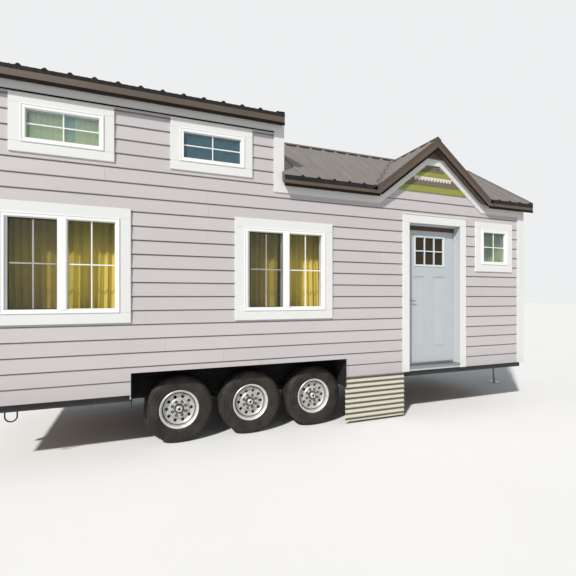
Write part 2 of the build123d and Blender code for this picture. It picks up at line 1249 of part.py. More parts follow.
def tie_ring():
    """A round bar bent to a U that hangs under the side rail."""
    x = at(tie_ring_station)
    y = -side_rail_face + cross_member_width / 2
    top = cross_member_base
    radius = tie_ring_width / 2 - tie_ring_rod / 2
    bend_height = top - tie_ring_drop + radius
    start = Vector(x - radius, y, top)
    left = Vector(x - radius, y, bend_height)
    right = Vector(x + radius, y, bend_height)
    end = Vector(x + radius, y, top)
    low_point = Vector(x, y, bend_height - radius)
    path = Wire(
        [
            Edge.make_line(start, left),
            Edge.make_three_point_arc(left, low_point, right),
            Edge.make_line(right, end),
        ]
    )
    section = Plane(origin=start, z_dir=(0, 0, -1)) * Circle(tie_ring_rod / 2)
    return sweep(section, path=path)


tie_rings = group([tie_ring(), to_back(tie_ring())])

# Hitch
tip_x = body_right + tongue_reach
tongue_rail_base = tongue_rail_top - tongue_rail_depth
coupler_x = tip_x - coupler_length


def tongue_rail():
    """The front rail of the A-shaped tongue, from the frame to the coupler."""
    points = [
        (body_right, -tongue_foot_half_gap - tongue_rail_width),
        (body_right, -tongue_foot_half_gap),
        (coupler_x, -tongue_tip_half_gap),
        (coupler_x, -tongue_tip_half_gap - tongue_rail_width),
    ]
    plane = Plane(origin=(0, 0, tongue_rail_base))
    face = make_face(plane * Polyline(*points, close=True))
    return extrude(face, amount=tongue_rail_depth, dir=(0, 0, 1))


tongue_rails = group([tongue_rail(), to_back(tongue_rail())])
coupler_top = tongue_rail_base + coupler_height
coupler_back_half = tongue_tip_half_gap + tongue_rail_width
coupler_plan = [
    (coupler_x, -coupler_back_half),
    (coupler_x + coupler_length / 2, -coupler_width / 2),
    (tip_x, -coupler_width / 2),
    (tip_x, coupler_width / 2),
    (coupler_x + coupler_length / 2, coupler_width / 2),
    (coupler_x, coupler_back_half),
]
coupler_plane = Plane(origin=(0, 0, tongue_rail_base))
hitch_coupler = extrude(
    make_face(coupler_plane * Polyline(*coupler_plan, close=True)),
    amount=coupler_height,
    dir=(0, 0, 1),
)
socket_x = tip_x - coupler_width / 2
hitch_coupler = hitch_coupler - rod_z(
    socket_x,
    0,
    tongue_rail_base,
    tongue_rail_base + ball_socket_depth,
    ball_socket_radius,
)
hitch_coupler = hitch_coupler - Pos(
    socket_x, 0, tongue_rail_base + ball_socket_depth
) * Sphere(ball_socket_radius)

jack_x = tip_x - jack_distance_from_tip
jack_bracket = block(
    jack_x - jack_bracket_width / 2,
    jack_x + jack_bracket_width / 2,
    -tongue_foot_half_gap / 2,
    tongue_foot_half_gap / 2,
    tongue_rail_top,
    tongue_rail_top + jack_bracket_thickness,
)
jack_foot = block(
    jack_x - jack_foot_size / 2,
    jack_x + jack_foot_size / 2,
    -jack_foot_size / 2,
    jack_foot_size / 2,
    0,
    jack_foot_thickness,
)
crank_height = jack_top_height - 2 * jack_crank_radius
tongue_jack = (
    rod_z(jack_x, 0, jack_tube_base_height, jack_top_height, jack_tube_radius)
    + rod_z(jack_x, 0, jack_foot_thickness, jack_top_height, jack_leg_radius)
    + jack_foot
    + jack_bracket
    + rod_y(jack_x, -jack_crank_length, 0, crank_height, jack_crank_radius)
    + rod_z(
        jack_x,
        -jack_crank_length,
        crank_height,
        crank_height + jack_crank_length / 2,
        jack_crank_radius,
    )
)


# Wheels
def ring_about_y(points):
    """A turned piece about Y, from (radius, y) points."""
    face = make_face(Plane.XY * Polyline(*points, close=True))
    return revolve(face, axis=Axis.Y)


def tyre():
    """A tyre about the Y axis, centred on the origin."""
    outer = tyre_diameter / 2
    inner = rim_diameter / 2
    half = tyre_width / 2
    bead = half - tyre_shoulder_radius / 2
    flange = rim_flange_diameter / 2
    middle = (outer + inner) / 2
    shoulder = outer - tyre_shoulder_radius
    return ring_about_y(
        [
            (inner, -bead),
            (flange, -bead),
            (middle, -half),
            (shoulder, -half + tyre_shoulder_radius / 4),
            (outer, -half + tyre_shoulder_radius),
            (outer, half - tyre_shoulder_radius),
            (shoulder, half - tyre_shoulder_radius / 4),
            (middle, half),
            (flange, bead),
            (inner, bead),
        ]
    )


def rim():
    """A wheel rim about the Y axis with its outer side towards -Y."""
    bead = tyre_width / 2 - tyre_shoulder_radius / 2
    seat = rim_diameter / 2
    flange = rim_flange_diameter / 2
    inner = seat - rim_wall
    barrel = ring_about_y(
        [
            (inner, -bead - rim_wall),
            (flange, -bead - rim_wall),
            (flange, -bead),
            (seat, -bead),
            (seat, bead),
            (flange, bead),
            (flange, bead + rim_wall),
            (inner, bead + rim_wall),
        ]
    )
    disc_face = -bead - rim_wall + rim_disc_setback
    disc_back = disc_face + rim_disc_thickness
    disc = rod_y(0, disc_face, disc_back, 0, inner)
    hub = rod_y(0, disc_face, disc_face + rim_hub_length, 0, rim_hub_radius)
    cap = rod_y(0, disc_face - hub_cap_reach, disc_face, 0, hub_cap_radius)
    wheel = barrel + disc + hub + cap
    for index in range(rim_vent_count):
        angle = math.tau * index / rim_vent_count
        wheel = wheel - rod_y(
            rim_vent_circle / 2 * math.sin(angle),
            disc_face,
            disc_back,
            rim_vent_circle / 2 * math.cos(angle),
            rim_vent_diameter / 2,
        )
    for index in range(lug_count):
        angle = math.tau * (index + 0.5) / lug_count
        wheel = wheel + rod_y(
            lug_circle / 2 * math.sin(angle),
            disc_face - lug_reach,
            disc_face,
            lug_circle / 2 * math.cos(angle),
            lug_radius,
        )
    hub_end = disc_face + rim_hub_length
    bore = rod_y(
        0,
        hub_end - spindle_length_in_hub,
        hub_end,
        0,
        spindle_radius + spindle_gap,
    )
    return wheel - bore


wheel_half_track = wheel_track / 2
rim_hub_end = (
    -tyre_width / 2
    + tyre_shoulder_radius / 2
    - rim_wall
    + rim_disc_setback
    + rim_hub_length
)
spindle_tip = wheel_half_track - rim_hub_end + spindle_length_in_hub
spindle_tip_gap = 2.0
axle_tube_end = wheel_half_track - rim_hub_end - spindle_tip_gap
axle_stations = [
    middle_axle_station - axle_spacing,
    middle_axle_station,
    middle_axle_station + axle_spacing,
]
axle_names = ["left", "middle", "right"]
front_tyre = tyre()
front_rim = rim()
wheel_nodes = {}
for name, station in zip(axle_names, axle_stations):
    place = Pos(at(station), -wheel_half_track, wheel_centre_height)
    wheel_nodes["front_" + name + "_tyre"] = place * front_tyre
    wheel_nodes["front_" + name + "_rim"] = place * front_rim
    wheel_nodes["back_" + name + "_tyre"] = to_back(place * front_tyre)
    wheel_nodes["back_" + name + "_rim"] = to_back(place * front_rim)


# Running gear
def axle(station):
    """An axle tube with a spindle at each end."""
    x = at(station)
    tube = rod_y(
        x,
        -axle_tube_end,
        axle_tube_end,
        wheel_centre_height,
        axle_tube_radius,
    )
    reach = spindle_tip - spindle_tip_gap
    return tube + rod_y(
        x, -reach, reach, wheel_centre_height, spindle_radius
    )


spring_seat = wheel_centre_height + axle_tube_radius
rail_bottom = wall_base_height - rail_depth
spring_y = -rail_outer_half_width + rail_width / 2


def leaf_spring(station):
    """A bowed spring over an axle, with a hanger at each end."""
    x = at(station)
    half = spring_span / 2
    eye = rail_bottom - hanger_length / 2
    lower = [
        (x - half, eye - spring_thickness),
        (x, spring_seat),
        (x + half, eye - spring_thickness),
    ]
    upper = [
        (x + half, eye),
        (x, spring_seat + spring_thickness),
        (x - half, eye),
    ]
    y0 = spring_y - spring_width / 2
    spring = along_y(lower + upper, y0, y0 + spring_width)
    for side in (-1, 1):
        hanger_x = x + side * (half - hanger_length / 2)
        spring = spring + block(
            hanger_x - hanger_length / 2,
            hanger_x + hanger_length / 2,
            y0,
            y0 + spring_width,
            eye - spring_thickness,
            rail_bottom,
        )
    return spring


axle_beams = group([axle(station) for station in axle_stations])
front_springs = [leaf_spring(station) for station in axle_stations]
leaf_springs = group(
    front_springs + [to_back(spring) for spring in front_springs]
)


# Wheel wells
def wheel_well():
    """The steel box over the front wheels, open below and outside."""
    x0 = at(well_station)
    x1 = at(well_end_station)
    outside = block(
        x0,
        x1,
        -half_width,
        -rail_outer_half_width,
        well_base_height,
        well_height,
    )
    inside = block(
        x0 + well_plate,
        x1 - well_plate,
        -half_width,
        -rail_outer_half_width - well_plate,
        well_base_height,
        well_height - well_plate,
    )
    return outside - inside


wheel_wells = group([wheel_well(), to_back(wheel_well())])


# Corrugated skirting between the wheel well and the door
def skirt_curve(y_shift):
    """(y, z) points of the wave, a quarter wave apart, with its arcs."""
    edges = []
    quarter = skirt_wave / 4
    top = wall_base_height
    middle_y = -side_rail_face - skirt_wave_depth / 2 - skirt_sheet + y_shift
    x = at(well_end_station)
    half_wave_count = math.floor((top - skirt_base_height) / (2 * quarter))
    for index in range(half_wave_count):
        z0 = top - 2 * quarter * index
        bulge = skirt_wave_depth / 2 * (-1 if index % 2 == 0 else 1)
        edges.append(
            Edge.make_three_point_arc(
                Vector(x, middle_y, z0),
                Vector(x, middle_y + bulge, z0 - quarter),
                Vector(x, middle_y, z0 - 2 * quarter),
            )
        )
    return edges


outer_curve = skirt_curve(0)
inner_curve = skirt_curve(skirt_sheet)
skirt_outline = Wire(
    outer_curve
    + [Edge.make_line(outer_curve[-1] @ 1, inner_curve[-1] @ 1)]
    + inner_curve
    + [Edge.make_line(inner_curve[0] @ 0, outer_curve[0] @ 0)]
)
skirt_panel = extrude(
    Face(skirt_outline), amount=skirt_length, dir=(1, 0, 0)
)

nodes = {
    "frame_rails": frame_rails,
    "cross_members": cross_members,
    "tie_rings": tie_rings,
    "tongue_rails": tongue_rails,
    "hitch_coupler": hitch_coupler,
    "tongue_jack": tongue_jack,
    "axle_beams": axle_beams,
    "leaf_springs": leaf_springs,
    "wheel_wells": wheel_wells,
    "main_floor": main_floor,
    "loft_floor": loft_floor,
    "wall_feet": wall_feet,
    "front_wall": front_wall,
    "front_wall_right": front_wall_right,
    "front_gable_wall": front_gable_wall,
    "back_wall": back_wall,
    "loft_walls": loft_walls,
    "end_walls": end_walls,
    "loft_side_wall": loft_side_wall,
    "loft_roof_front": loft_roof_front,
    "loft_roof_back": loft_roof_back,
    "low_roof_front": low_roof_front,
    "low_roof_back": low_roof_back,
    "entry_roof": entry_roof,
    "ridge_caps": ridge_caps,
    "roof_ribs": roof_ribs,
    "trim_boards": trim_boards,
    "front_windows": front_windows,
    "back_windows": back_windows,
    "window_glass": window_glass,
    "curtains": curtains,
    "curtain_rods": curtain_rods,
    "door_frame": door_frame,
    "door_hinges": door_hinges,
    "door_leaf": door_leaf,
    "door_glass": door_glass,
    "door_hardware": door_hardware,
    "skirt_panel": skirt_panel,
}
nodes.update(wheel_nodes)

for node_name, shape in nodes.items():
    export_step(shape, "parts/" + node_name + ".step")
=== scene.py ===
"""Looks of a tiny house on wheels, built round its fixed frame.

Everything is in metres. X runs along the house to the hitch, -Y faces out of
the door side, and Z is up from the ground.
"""

import json
import math
import random

import bmesh
import bpy
from bpy.props import (
    FloatProperty,
    FloatVectorProperty,
    IntProperty,
    PointerProperty,
)
from bpy.types import Operator, Panel, PropertyGroup
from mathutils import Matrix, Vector

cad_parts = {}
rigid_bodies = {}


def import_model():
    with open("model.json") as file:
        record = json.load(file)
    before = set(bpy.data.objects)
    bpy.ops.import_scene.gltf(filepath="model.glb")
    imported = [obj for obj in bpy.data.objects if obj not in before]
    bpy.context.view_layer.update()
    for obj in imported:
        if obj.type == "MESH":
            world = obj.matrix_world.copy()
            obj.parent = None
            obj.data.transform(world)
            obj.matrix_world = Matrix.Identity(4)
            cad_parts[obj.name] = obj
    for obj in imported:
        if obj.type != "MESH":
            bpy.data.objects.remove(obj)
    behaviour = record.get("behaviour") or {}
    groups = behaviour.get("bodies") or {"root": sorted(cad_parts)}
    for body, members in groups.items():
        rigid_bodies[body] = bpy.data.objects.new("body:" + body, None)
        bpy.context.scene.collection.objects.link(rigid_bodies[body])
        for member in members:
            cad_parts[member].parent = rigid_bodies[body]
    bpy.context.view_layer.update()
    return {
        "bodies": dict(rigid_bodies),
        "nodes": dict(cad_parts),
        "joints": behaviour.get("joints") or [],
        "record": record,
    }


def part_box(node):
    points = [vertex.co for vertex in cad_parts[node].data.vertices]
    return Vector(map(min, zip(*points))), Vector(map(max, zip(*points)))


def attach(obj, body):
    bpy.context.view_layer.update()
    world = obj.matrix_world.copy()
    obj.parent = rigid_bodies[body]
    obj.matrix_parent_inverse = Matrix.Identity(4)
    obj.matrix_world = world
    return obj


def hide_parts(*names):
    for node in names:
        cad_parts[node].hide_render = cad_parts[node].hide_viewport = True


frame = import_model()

bl_info = {
    "name": "Tiny House on Wheels",
    "version": (1, 0, 0),
    "blender": (4, 5, 0),
    "location": "View3D > Sidebar > Tiny House",
    "description": "Builds the siding, roof sheets, windows, door, curtains and wheels of a tiny house",
    "category": "Object",
}

# Places read from the frame
walls_low, walls_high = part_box("end_walls")
left_end = walls_low.x
right_end = walls_high.x
wall_face = walls_high.y
siding_base = walls_low.z
trim_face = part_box("trim_boards")[1].y
loft_low, loft_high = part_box("loft_roof_front")
roof_left = loft_low.x
loft_end = loft_high.x
roof_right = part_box("low_roof_front")[1].x
eave_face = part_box("low_roof_back")[1].y
ridge_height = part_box("low_roof_back")[1].z
entry_low, entry_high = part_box("entry_roof")
entry_x = (entry_low.x + entry_high.x) / 2
entry_peak = entry_high.z
well_low, well_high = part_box("wheel_wells")
door_low, door_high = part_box("door_leaf")
door_x = (door_low.x + door_high.x) / 2
door_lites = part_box("door_glass")

# Sizes of the walls, roofs and boards that the boxes don't give
inner_face = wall_face - 0.150
corner_board = 0.108
low_eave_height = 3.190
loft_eave_height = 3.920
low_roof_depth = 0.115
loft_roof_depth = 0.120
low_pitch = (ridge_height - low_eave_height) / eave_face
loft_pitch = (ridge_height - loft_eave_height) / eave_face
entry_pitch = 0.772
entry_roof_depth = 0.147
rake_depth = 0.135
ridge_cap_reach = 0.070
entry_cap_reach = 0.055
low_frieze_base = 2.990
loft_frieze_base = 3.725
collar_base = 3.607
trim_depth = trim_face - wall_face
valley_foot = (entry_peak - low_eave_height) / entry_pitch
entry_ridge_end = -(ridge_height - entry_peak) / low_pitch


def at(station):
    """X of a distance along the house from its left end."""
    return left_end + station


def paint(red, green, blue):
    """A colour as seen, from 0 to 255, as the linear values that shaders use."""
    values = []
    for level in (red, green, blue):
        share = level / 255
        if share <= 0.04045:
            values.append(share / 12.92)
        else:
            values.append(((share + 0.055) / 1.055) ** 2.4)
    return tuple(values)


def length(name, description, default):
    return FloatProperty(
        name=name, description=description, default=default, min=0.0, unit="LENGTH"
    )


def colour(name, description, seen):
    return FloatVectorProperty(
        name=name,
        description=description,
        default=paint(*seen),
        min=0.0,
        max=1.0,
        subtype="COLOR",
    )


class SidingSizes(PropertyGroup):
    course: length("Course", "Height of each siding course", 0.1524)
    butt: length("Butt", "Thickness of a board at its lower edge", 0.015)
    tip: length("Tip", "Thickness of a board at its upper edge", 0.004)
    board: length("Board length", "Longest board before a joint", 3.66)
    joint: length("Joint", "Gap between two boards in a course", 0.0015)
    cover: length("Cover", "How far boards run under the trim", 0.012)


class RoofSizes(PropertyGroup):
    pitch: length("Rib pitch", "Distance between the tall ribs", 0.220)
    height: length("Rib height", "Height of the tall ribs", 0.019)
    base: length("Rib base", "Width of a tall rib at its foot", 0.058)
    top: length("Rib top", "Width of a tall rib at its top", 0.020)
    swage: length("Low rib height", "Height of the two low ribs in each pan", 0.003)
    sheet: length("Sheet", "Height of the flat pan over the roof deck", 0.0012)
    overhang: length("Overhang", "How far the sheets reach past the fascia", 0.005)
    flashing: length("Flashing", "Thickness of the folded edge trims", 0.003)
    # The two dark gaps are near-black strips that paint the shadow under the sheets' edge.
    gap: length("Dark gap", "Height of the shadowed strip under the loft sheets", 0.038)
    low_gap: length("Low dark gap", "Height of the shadowed strip under the low sheets", 0.058)
    # The dark foot and the board drop give the height of a near-black strip that paints the shade at the
    # fascia's foot.
    foot: length("Dark foot", "Height of the dark strip at the fascia's foot", 0.012)
    drop: length("Board drop", "How far the fascia reaches below the roof's underside", 0.026)


class WindowSizes(PropertyGroup):
    muntin: length("Muntin", "Width of the bars across the glass", 0.013)
    casing: length("Casing skin", "Thickness of the casing boards over the frame", 0.004)
    bead: length("Bead", "Width of the raised lip round each frame", 0.012)
    sash: length("Sash", "Width of the sliding sash", 0.026)


class CurtainSizes(PropertyGroup):
    depth: length("Fold depth", "Depth of the folds at the hem", 0.038)
    cloth: length("Cloth", "Thickness of the cloth", 0.0012)
    folds: IntProperty(name="Folds", description="Folds in each panel", default=7, min=1)


class WheelSizes(PropertyGroup):
    groove: length("Groove", "Depth of the tread grooves", 0.008)
    steps: IntProperty(
        name="Steps", description="Blocks of tread round a tyre", default=66, min=12
    )
    hole: length("Hole", "Radius of the round holes in a rim", 0.0195)
    hole_circle: length("Hole circle", "Radius of the circle of holes", 0.141)
    lug_circle: length("Lug circle", "Radius of the circle of lug nuts", 0.08255)


class Colours(PropertyGroup):
    siding: colour("Siding", "Lap siding paint", (188, 182, 184))
    trim: colour("Trim", "White board paint", (218, 219, 218))
    vinyl: colour("Window vinyl", "White window frames", (234, 235, 234))
    roof: colour("Roof", "Ribbed roof sheet", (115, 109, 105))
    fascia: colour("Fascia", "Roof edge metal", (88, 76, 66))
    # Near-black colour that paints the shade at the fascias' feet and under the loft frieze.
    fascia_painted_shade: colour("Dark edge", "Lower edge of the fascia", (26, 19, 13))
    lime: colour("Lime", "Lime bands of the entry gable", (136, 140, 61))
    shingle: colour("Shingle", "Brown boards of the entry gable", (108, 98, 80))
    lace: colour("Lace", "Scalloped band of the entry gable", (208, 202, 194))
    door: colour("Door", "Entry door paint", (179, 185, 189))
    curtain: colour("Curtain", "Curtain cloth", (238, 214, 88))
    rim: colour("Rim", "Silver rim paint", (206, 206, 202))
    tyre: colour("Tyre", "Tyre rubber", (38, 36, 33))
    frame: colour("Frame", "Trailer frame paint", (30, 30, 32))
    room: colour("Room", "Inside wall paint", (214, 208, 196))
    floor: colour("Floor", "Floor boards", (150, 112, 74))


class StageSizes(PropertyGroup):
    camera_station: length("Camera station", "Camera's distance from the left end", 1.590)
    camera_reach: length("Camera reach", "Camera's distance in front of the siding", 4.457)
    camera_height: length("Camera height", "Camera's height over the ground", 1.708)
    camera_turn: FloatProperty(
        name="Camera turn",
        description="Turn of the camera towards the hitch",
        default=math.radians(21.1),
        unit="ROTATION",
    )
    lens: FloatProperty(name="Lens", description="Focal length in mm", default=24.0)
    shift: FloatProperty(name="Shift", description="Upward shift of the view", default=0.0144)
    sun: FloatProperty(name="Key light", description="Strength of the key", default=3.9)
    sky: FloatProperty(name="Fill light", description="Strength of the fill", default=0.30)


# Finishes
class Finish:
    """A procedural material, put together node by node."""

    def __init__(self, name, base, roughness, metallic=0.0, **sockets):
        self.material = bpy.data.materials.new(name)
        self.material.use_nodes = True
        self.nodes = self.material.node_tree.nodes
        self.links = self.material.node_tree.links
        self.shader = self.nodes["Principled BSDF"]
        self.shader.inputs["Base Color"].default_value = (*base, 1.0)
        self.shader.inputs["Roughness"].default_value = roughness
        self.shader.inputs["Metallic"].default_value = metallic
        for socket, value in sockets.items():
            self.shader.inputs[socket].default_value = value
        self.base = tuple(base)
        self.layer = None
        self.place = self.nodes.new("ShaderNodeTexCoord").outputs["Object"]
        self.normal = None

    def add(self, kind, links=None, **settings):
        """A node with its settings, values and links."""
        node = self.nodes.new(kind)
        for name, value in settings.items():
            setattr(node, name, value)
        for name, value in (links or {}).items():
            socket = node.inputs[name]
            if hasattr(value, "is_output"):
                self.links.new(value, socket)
            else:
                socket.default_value = value
        return node

    def stretched(self, stretch):
        return self.add(
            "ShaderNodeMapping", {"Vector": self.place, "Scale": stretch}
        ).outputs["Vector"]

    def noise(self, scale, stretch=(1, 1, 1), detail=4.0, roughness=0.55):
        return self.add(
            "ShaderNodeTexNoise",
            {
                "Vector": self.stretched(stretch),
                "Scale": scale,
                "Detail": detail,
                "Roughness": roughness,
            },
        ).outputs["Fac"]

    def spread(self, value, low, high, from_low=0.35, from_high=0.65):
        """A value brought from one range to another, and kept inside it."""
        return self.add(
            "ShaderNodeMapRange",
            {
                "Value": value,
                "From Min": from_low,
                "From Max": from_high,
                "To Min": low,
                "To Max": high,
            },
        ).outputs["Result"]

    def patches(self, scale, stretch=(1, 1, 1), detail=4.0, low=0.0, high=1.0):
        """Noise in soft patches, from a low to a high value."""
        return self.spread(self.noise(scale, stretch, detail), low, high)

    def axis(self, name):
        """One coordinate of the point, in metres."""
        return self.add(
            "ShaderNodeSeparateXYZ", {"Vector": self.place}
        ).outputs[name]

    def ramp(self, name, start, end, low=0.0, high=1.0):
        """A value that goes from low to high between two places along an axis."""
        return self.spread(self.axis(name), low, high, start, end)

    def upward(self):
        """How far the surface faces up, from -1 to 1."""
        facing = self.add("ShaderNodeNewGeometry").outputs["Normal"]
        return self.add("ShaderNodeSeparateXYZ", {"Vector": facing}).outputs["Z"]

    def within(self, value, reach):
        """1 where a value lies between -reach and reach, and 0 outside."""
        return self.math("LESS_THAN", self.math("ABSOLUTE", value, 0.0), reach)

    def math(self, operation, first, second=0.5):
        node = self.add("ShaderNodeMath", {0: first, 1: second}, operation=operation)
        return node.outputs["Value"]

    def mix(self, share, first, second):
        """A mix of two colours, each a socket or three numbers."""
        node = self.add("ShaderNodeMix", {"Factor": share}, data_type="RGBA")
        for socket, value in (("A", first), ("B", second)):
            target = [s for s in node.inputs if s.name == socket and s.type == "RGBA"][0]
            if hasattr(value, "is_output"):
                self.links.new(value, target)
            else:
                target.default_value = (*value, 1.0)
        return [s for s in node.outputs if s.type == "RGBA"][0]

    def shade(self, amount):
        """The base colour, darker below 1 and lighter above."""
        return tuple(min(1.0, level * amount) for level in self.base)

    def colour_from(self, socket):
        self.layer = socket
        self.links.new(socket, self.shader.inputs["Base Color"])

    def roughness_from(self, socket):
        self.links.new(socket, self.shader.inputs["Roughness"])

    def bump(self, height, distance):
        """Raises the surface by a height of 0 to 1 times a distance in metres."""
        links = {"Height": height, "Strength": 1.0, "Distance": distance}
        if self.normal is not None:
            links["Normal"] = self.normal
        self.normal = self.add("ShaderNodeBump", links).outputs["Normal"]
        self.links.new(self.normal, self.shader.inputs["Normal"])

    def gloss(self, level):
        """How strongly the surface mirrors; 0.5 is plain paint."""
        self.shader.inputs["Specular IOR Level"].default_value = level

    def tone(self):
        """The value that each board or blade was given when it was made."""
        return self.add("ShaderNodeAttribute", attribute_name="tone").outputs["Fac"]


def painted_wood(name, base, roughness=0.5, grain=0.00035, dirt_height=0.75):
    """Paint over planed boards, a little dirty near the ground."""
    finish = Finish(name, base, roughness)
    tone = finish.spread(finish.tone(), 0.0, 1.0, 0.0, 1.0)
    board = finish.mix(tone, finish.shade(0.965), finish.shade(1.03))
    cloud = finish.patches(1.6, detail=5.0, high=0.35)
    board = finish.mix(cloud, board, finish.shade(0.93))
    splash = finish.math("ADD", finish.axis("Z"), finish.math("MULTIPLY", finish.noise(9.0), 0.16))
    dirt = finish.spread(splash, 0.45, 0.0, dirt_height, dirt_height + 0.22)
    board = finish.mix(dirt, board, finish.shade(0.72))
    finish.colour_from(board)
    finish.roughness_from(finish.patches(14.0, low=roughness - 0.06, high=roughness + 0.1))
    finish.bump(finish.noise(34.0, (0.05, 0.05, 1.0), 6.0, 0.6), grain)
    return finish


def plain_metal(name, base, roughness, metallic, fine=0.0001, dust=0.12):
    """Sheet or cast metal with fine unevenness and dust, which lightens it below 0."""
    finish = Finish(name, base, roughness, metallic)
    patch = finish.patches(3.0, detail=6.0)
    finish.colour_from(finish.mix(patch, base, finish.shade(1.0 - dust)))
    finish.roughness_from(finish.patches(22.0, detail=5.0, low=roughness - 0.07, high=roughness + 0.09))
    finish.bump(finish.noise(160.0, detail=3.0), fine)
    return finish


def make_siding_finish(colours, course):
    """Lap siding paint, with a painted shadow band under the butt of each board above."""
    finish = painted_wood("siding_paint", colours.siding, 0.62, 0.0006)
    # A darker band at the top of each course is painted shadow under the butt above.
    shadow_start, shadow_full = 0.875, 0.92
    rise = finish.math("DIVIDE", finish.math("SUBTRACT", finish.axis("Z"), siding_base), course)
    under = finish.spread(finish.math("FRACT", rise, 0.0), 0.0, 1.0, shadow_start, shadow_full)
    finish.colour_from(finish.mix(under, finish.layer, finish.shade(0.36)))


def make_trim_finish(colours):
    """Paint of the white boards, and of the entry gable, which no dirt reaches."""
    clean = -2.0
    painted_wood("trim_paint", colours.trim, 0.5, 0.0003, 0.7)
    painted_wood("lime_paint", colours.lime, 0.55, 0.0003, clean)
    painted_wood("shingle_paint", colours.shingle, 0.7, 0.0009, clean)
    painted_wood("lace_paint", colours.lace, 0.5, 0.0002, clean)


def make_vinyl_finish(colours):
    finish = Finish("window_vinyl", colours.vinyl, 0.35)
    patch = finish.patches(5.0)
    finish.colour_from(finish.mix(patch, finish.base, finish.shade(0.965)))
    finish.roughness_from(finish.patches(30.0, low=0.3, high=0.42))
    finish.bump(finish.noise(220.0), 0.00004)


def make_roof_finishes(colours):
    """Painted sheet with rain streaks down the slope, its trims, its closures, and near-black strips of
    painted shade.
    """
    finish = Finish("roof_sheet", colours.roof, 0.42, 0.1)
    streak = finish.patches(5.0, (2.2, 0.16, 0.16), 5.0)
    cloud = finish.patches(0.9, detail=5.0)
    tinted = finish.mix(streak, finish.shade(1.03), finish.shade(0.95))
    finish.colour_from(finish.mix(cloud, tinted, finish.shade(1.05)))
    finish.roughness_from(finish.patches(8.0, (2.0, 0.3, 0.3), low=0.36, high=0.54))
    finish.bump(finish.noise(3.2, (1.0, 0.4, 0.4), 2.0), 0.0012)
    finish.gloss(0.2)
    plain_metal("fascia_metal", colours.fascia, 0.42, 0.1).gloss(0.2)
    # Near-black strips that paint the shade at the fascias' feet and the shadow line under the loft
    # frieze.
    plain_metal("painted_shade_strip", colours.fascia_painted_shade, 0.75, 0.0).gloss(0.1)
    # Near-black for the foam closures and the crank grip, and painted shade in the eave gaps, wheel
    # wells, rim recesses and screen frames.
    plain_metal("near_black_and_painted_shade", paint(14, 13, 13), 0.9, 0.0, 0.0006)


def make_ceiling_finish(colours):
    """Roof edge metal outside, and painted boards on the ceilings inside."""
    ceiling = Finish("roof_solid", colours.fascia, 0.45, 0.1)
    inside = ceiling.math(
        "MULTIPLY",
        ceiling.math("LESS_THAN", ceiling.upward(), -0.5),
        ceiling.within(ceiling.axis("Y"), inner_face),
    )
    grain = ceiling.patches(9.0, (0.3, 4.0, 1.0), 5.0)
    boards = ceiling.mix(grain, colours.room, paint(190, 180, 160))
    dust = ceiling.patches(4.0, detail=5.0)
    dusty = ceiling.mix(dust, ceiling.base, ceiling.shade(0.86))
    ceiling.colour_from(ceiling.mix(inside, dusty, boards))
    ceiling.bump(ceiling.noise(40.0), 0.0002)


def make_glass_finish():
    """Window glass: a dark tint on the lower windows, painted sky reflection on the loft and entry glass,
    painted light over the loft curtain, and painted reflection of leaves on the entry window.
    """
    finish = Finish("window_glass", paint(70, 84, 92), 0.03, 0.0, Alpha=0.2, IOR=1.52)
    upper = finish.ramp("Z", 3.0, 3.01)
    entry_end = finish.ramp("X", 2.0, 2.01)
    deep = finish.math("MAXIMUM", upper, entry_end)
    # Lower windows get a dark glass tint; loft and entry glass get a teal painted sky reflection.
    tint = finish.mix(deep, paint(60, 78, 70), paint(84, 118, 132))
    end, z0, z1 = loft_windows[0].frame()[1:]
    curtained = finish.math("MULTIPLY", upper, finish.ramp("X", end, end + 0.01, 1.0, 0.0))
    # A pale gradient over the curtained loft window is painted light on its curtain.
    pale = finish.mix(finish.ramp("Z", z0 + 0.05, z1 - 0.05), paint(190, 226, 196), paint(150, 186, 192))
    tint = finish.mix(curtained, tint, pale)
    z0, z1 = entry_window.frame()[2:]
    # Mottled green on the entry window is a painted reflection of leaves.
    leaf_reflection = finish.mix(finish.ramp("Z", z0 + 0.1, z1 - 0.1), paint(164, 188, 146), paint(100, 121, 109))
    reflection_mottle = finish.spread(finish.noise(9.0, (1.0, 1.0, 0.45), 4.0), 0.0, 1.0, 0.42, 0.6)
    leaf_reflection = finish.mix(reflection_mottle, leaf_reflection, paint(105, 126, 111))
    finish.colour_from(finish.mix(entry_end, tint, leaf_reflection))
    clearer = finish.math("MULTIPLY", curtained, 0.17)
    strength = finish.math("SUBTRACT", finish.spread(deep, 0.12, 0.42, 0.0, 1.0), clearer)
    finish.links.new(strength, finish.shader.inputs["Alpha"])
    finish.gloss(0.4)
    finish.shader.inputs["Coat Weight"].default_value = 0.15
    finish.shader.inputs["Coat Roughness"].default_value = 0.02
    finish.roughness_from(finish.patches(2.5, detail=3.0, low=0.02, high=0.05))
    finish.bump(finish.noise(1.4, detail=1.0), 0.0008)
    small = Finish("door_pane", paint(62, 44, 30), 0.04, 0.0, Alpha=0.7, IOR=1.52)
    small.colour_from(small.mix(small.patches(6.0), small.base, paint(48, 52, 34)))
    small.roughness_from(small.patches(2.5, low=0.03, high=0.06))
    small.bump(small.noise(1.4, detail=1.0), 0.0008)
    small.gloss(0.2)


